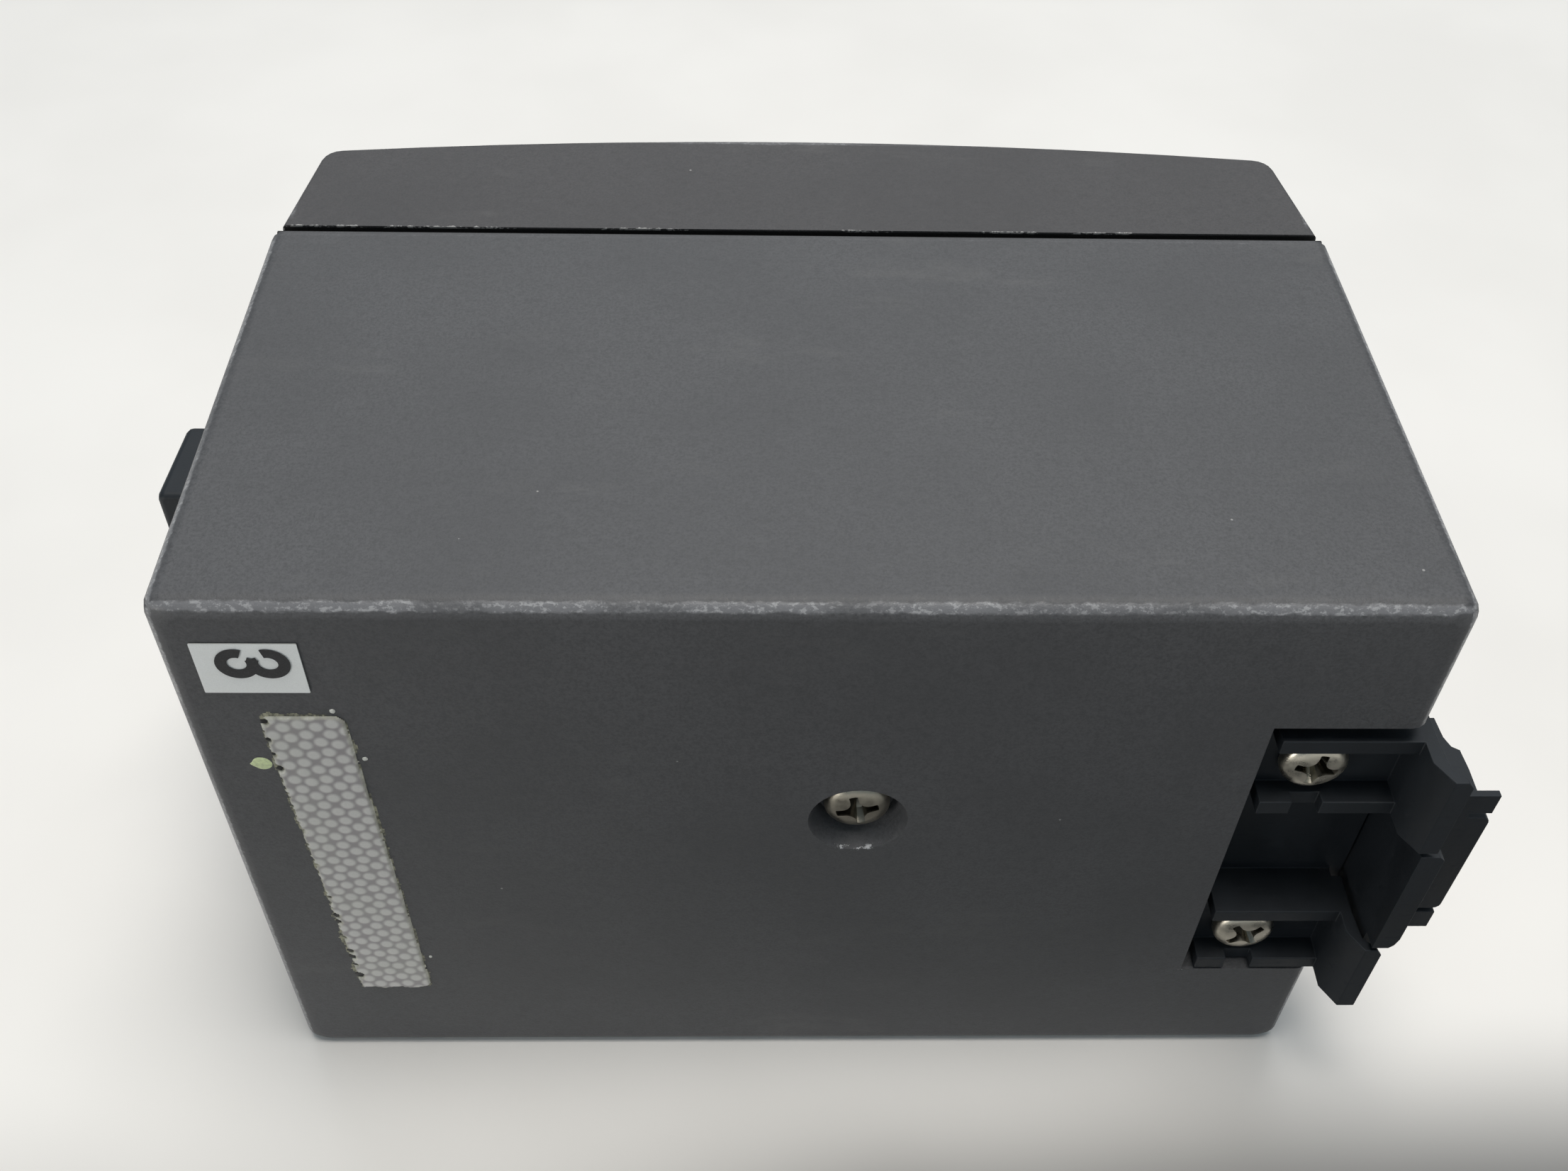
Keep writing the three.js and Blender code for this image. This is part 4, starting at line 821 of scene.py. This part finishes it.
def blob(x, z, wide, tall, thick, seed, point=0.0):
    """A flat irregular drop on the rear face, drawn out to a point on its left side if asked."""
    mesh = bmesh.new()
    rings = []
    for share, height in ((1.0, 0.0), (0.9, 0.7), (0.55, 1.0)):
        ring = []
        for i in range(BLOB_POINTS):
            turn = 2 * math.pi * i / BLOB_POINTS
            wave = 1 + 0.16 * noise.noise(Vector((math.cos(turn) * 1.3, math.sin(turn) * 1.3, seed)))
            slim = 1 - point * max(0.0, -math.cos(turn)) ** 2
            ring.append(mesh.verts.new((
                x + wide / 2 * share * wave * math.cos(turn), REAR - 0.01 - thick * height,
                z + tall / 2 * share * wave * slim * math.sin(turn),
            )))
        rings.append(ring)
    for a, b in zip(rings, rings[1:]):
        for i in range(BLOB_POINTS):
            j = (i + 1) % BLOB_POINTS
            mesh.faces.new((a[i], a[j], b[j], b[i]))
    mesh.faces.new(rings[-1])
    mesh.faces.new(rings[0][::-1])
    bmesh.ops.recalc_face_normals(mesh, faces=mesh.faces)
    return mesh


def make_marks():
    """A dab of paint beside the film, near-black drops in its deeper bites and three crumbs of its backing.
    """
    left = STRIP_LOW.x
    top = STRIP_HIGH.z
    dab = blob(left - 1.0, top - 8.1, 2.25, 2.0, 0.06, 1.0, point=0.6)
    add_detail(dab, "paint_dab", "housing", dab_paint("dab", (0.62, 0.70, 0.40)))
    crumb = dab_paint("crumb", (0.62, 0.62, 0.58))
    near_black_drop = dab_paint("near_black_drop", (0.006, 0.006, 0.006))
    # Near-black drops laid in the deeper bites.
    for i, (z, size) in enumerate(BITES):
        if size > DEEP_BITE:
            x = strip_sides(z)[0] + 0.1
            add_detail(blob(x, z, size * 1.9, size * 2.0, 0.03, 20.0 + i), f"dirt_{i + 1}", "housing", near_black_drop)
    crumbs = ((left + 7.7, top + 0.35, 0.6), (left + 9.6, top - 7.3, 0.55), (left + 10.9, top - 45.8, 0.4))
    for i, (x, z, size) in enumerate(crumbs):
        add_detail(blob(x, z, size, size, 0.12, 3.0 + i), f"crumb_{i + 1}", "housing", crumb)


# How far in from the outer face the slant reaches, and how far it moves the face at the front and the rear.
LATCH_SLANTED = 2.0
LATCH_SLANT = (0.15, -0.75)


def make_latch():
    """The latch's block, its outer face a little slanted: it stands out further towards the rear."""
    low, high = box_mm("release_latch")
    mesh = cad_copy("release_latch")
    for vert in mesh.verts:
        if vert.co.x < low.x + LATCH_SLANTED:
            rearward = (high.y - vert.co.y) / (high.y - low.y)
            vert.co.x += LATCH_SLANT[0] + (LATCH_SLANT[1] - LATCH_SLANT[0]) * rearward
    return show(round_edges(mesh, 0.3, 3), "release_latch")


# ---------- all other nodes: the CAD's own shape with real rounded edges ----------

# How wide each node's edges are rounded and in how many steps, where it isn't the usual width.
EDGE_WIDTHS = {
    "housing": (0.12, 2), "front_cover": (0.14, 2), "inner_frame": (0.1, 2),
    "hook_bracket": (0.28, 3), "hook_slide": (0.24, 3),
    "terminal_block": (0.15, 2), "status_window": (0.12, 2), "legend_plate": (0.06, 1),
    "hook_spring": (0, 1), "latch_spring": (0, 1),
}
USUAL_EDGE = (0.12, 2)
OWN_SHAPE = {*SCREW_TURN, "number_label", "number_digit", "reflective_strip", "release_latch"}


def make_other_pieces():
    for node in sorted(frame["nodes"]):
        if node in OWN_SHAPE:
            continue
        width, segments = EDGE_WIDTHS.get(node, USUAL_EDGE)
        mesh = round_edges(cad_copy(node), width, segments)
        show(mesh, node)


# ---------- stage ----------


# The camera solved from the photograph: its right, up and back directions and its place in metres.
CAMERA_RIGHT = (0.99966, -0.01479, 0.02132)
CAMERA_UP = (-0.00398, 0.72465, 0.68910)
CAMERA_BACK = (-0.02564, -0.68896, 0.72435)
CAMERA_PLACE = (-0.007027, -0.129692, 0.190446)
CAMERA_LENS = 36.71


def make_camera():
    """The viewpoint: above the rear face, looking down over it at 46 degrees."""
    data = bpy.data.cameras.new("view")
    data.sensor_width = 36
    data.lens = CAMERA_LENS
    data.clip_start = 0.01
    data.clip_end = 10
    camera = bpy.data.objects.new("view", data)
    bpy.context.scene.collection.objects.link(camera)
    turn = Matrix((CAMERA_RIGHT, CAMERA_UP, CAMERA_BACK)).transposed().to_4x4()
    camera.matrix_world = Matrix.Translation(CAMERA_PLACE) @ turn
    bpy.context.scene.camera = camera


def make_floor():
    """A pale floor with a painted shadow: a soft dark patch a little way in front of the rear face."""
    mesh = bmesh.new()
    bmesh.ops.create_grid(mesh, x_segments=1, y_segments=1, size=2)
    data = bpy.data.meshes.new("floor")
    mesh.to_mesh(data)
    mesh.free()
    floor = bpy.data.objects.new("floor", data)
    bpy.context.scene.collection.objects.link(floor)
    paint = Paint("floor")
    cloud = paint.noise(60, detail=3)
    grain = paint.noise(0.8, detail=3)
    tone = paint.blend(paint.span(cloud, 0.3, 0.7), (0.80, 0.775, 0.745), (0.84, 0.815, 0.785))
    # Painted shadow: a soft near-black patch in front of the rear face; its start and depth change across
    # X, and it fades out further in front and to the sides.
    across = paint.coordinate("X")
    start = paint.span(across, 20, 80, 33, 23.5)
    reach = paint.calc("ADD", paint.span(across, -60, 15, 62, 26), paint.span(across, 20, 80, 0, 8))
    depth = paint.calc("DIVIDE", paint.calc("ADD", paint.coordinate("Y"), start), reach)
    shade = paint.span(depth, -1.0, 0.0, 1.0, 0.0)
    shade = paint.calc("MULTIPLY", shade, paint.span(paint.coordinate("Y"), -190, -115))
    shade = paint.calc("MULTIPLY", shade, paint.span(paint.calc("ABSOLUTE", across), 125, 185, 1.0, 0.0))
    tone = paint.blend(shade, tone, (0.07, 0.07, 0.07))
    floor.data.materials.append(paint.finish(tone, 0.5, paint.bump(grain, 0.01)))


def add_lamp(name, place, target, size, power, colour):
    data = bpy.data.lights.new(name, "AREA")
    data.shape = "RECTANGLE"
    data.size, data.size_y = size
    data.energy = power
    data.color = colour
    lamp = bpy.data.objects.new(name, data)
    lamp.location = place
    lamp.rotation_euler = (Vector(target) - Vector(place)).to_track_quat("-Z", "Y").to_euler()
    bpy.context.scene.collection.objects.link(lamp)
    return lamp


def make_light():
    world = bpy.data.worlds.new("world")
    world.use_nodes = True
    background = world.node_tree.nodes["Background"]
    background.inputs["Color"].default_value = (0.72, 0.89, 1.0, 1)
    background.inputs["Strength"].default_value = 0.28
    bpy.context.scene.world = world
    add_lamp("overhead", (0.1, -0.04, 1.3), (0, 0.02, 0), (0.6, 0.6), 13.4, (1.0, 0.965, 0.915))
    add_lamp("window", (0, 1.6, 1.6), (0, 0, 0), (2.0, 1.0), 12, (0.97, 0.98, 1.0))
    fill_place, fill_target = (-0.34, -0.30, 0.07), (-0.03, -0.03, 0.02)
    fill = add_lamp("fill", fill_place, fill_target, (0.16, 0.12), 0.32, (1.0, 0.96, 0.90))
    fill.visible_camera = False


for screw in sorted(SCREW_TURN):
    make_screw(screw)
make_label()
make_digit()
make_strip()
make_residue()
make_marks()
make_latch()
make_other_pieces()
make_camera()
make_floor()
make_light()
bpy.context.scene.view_settings.view_transform = "Standard"
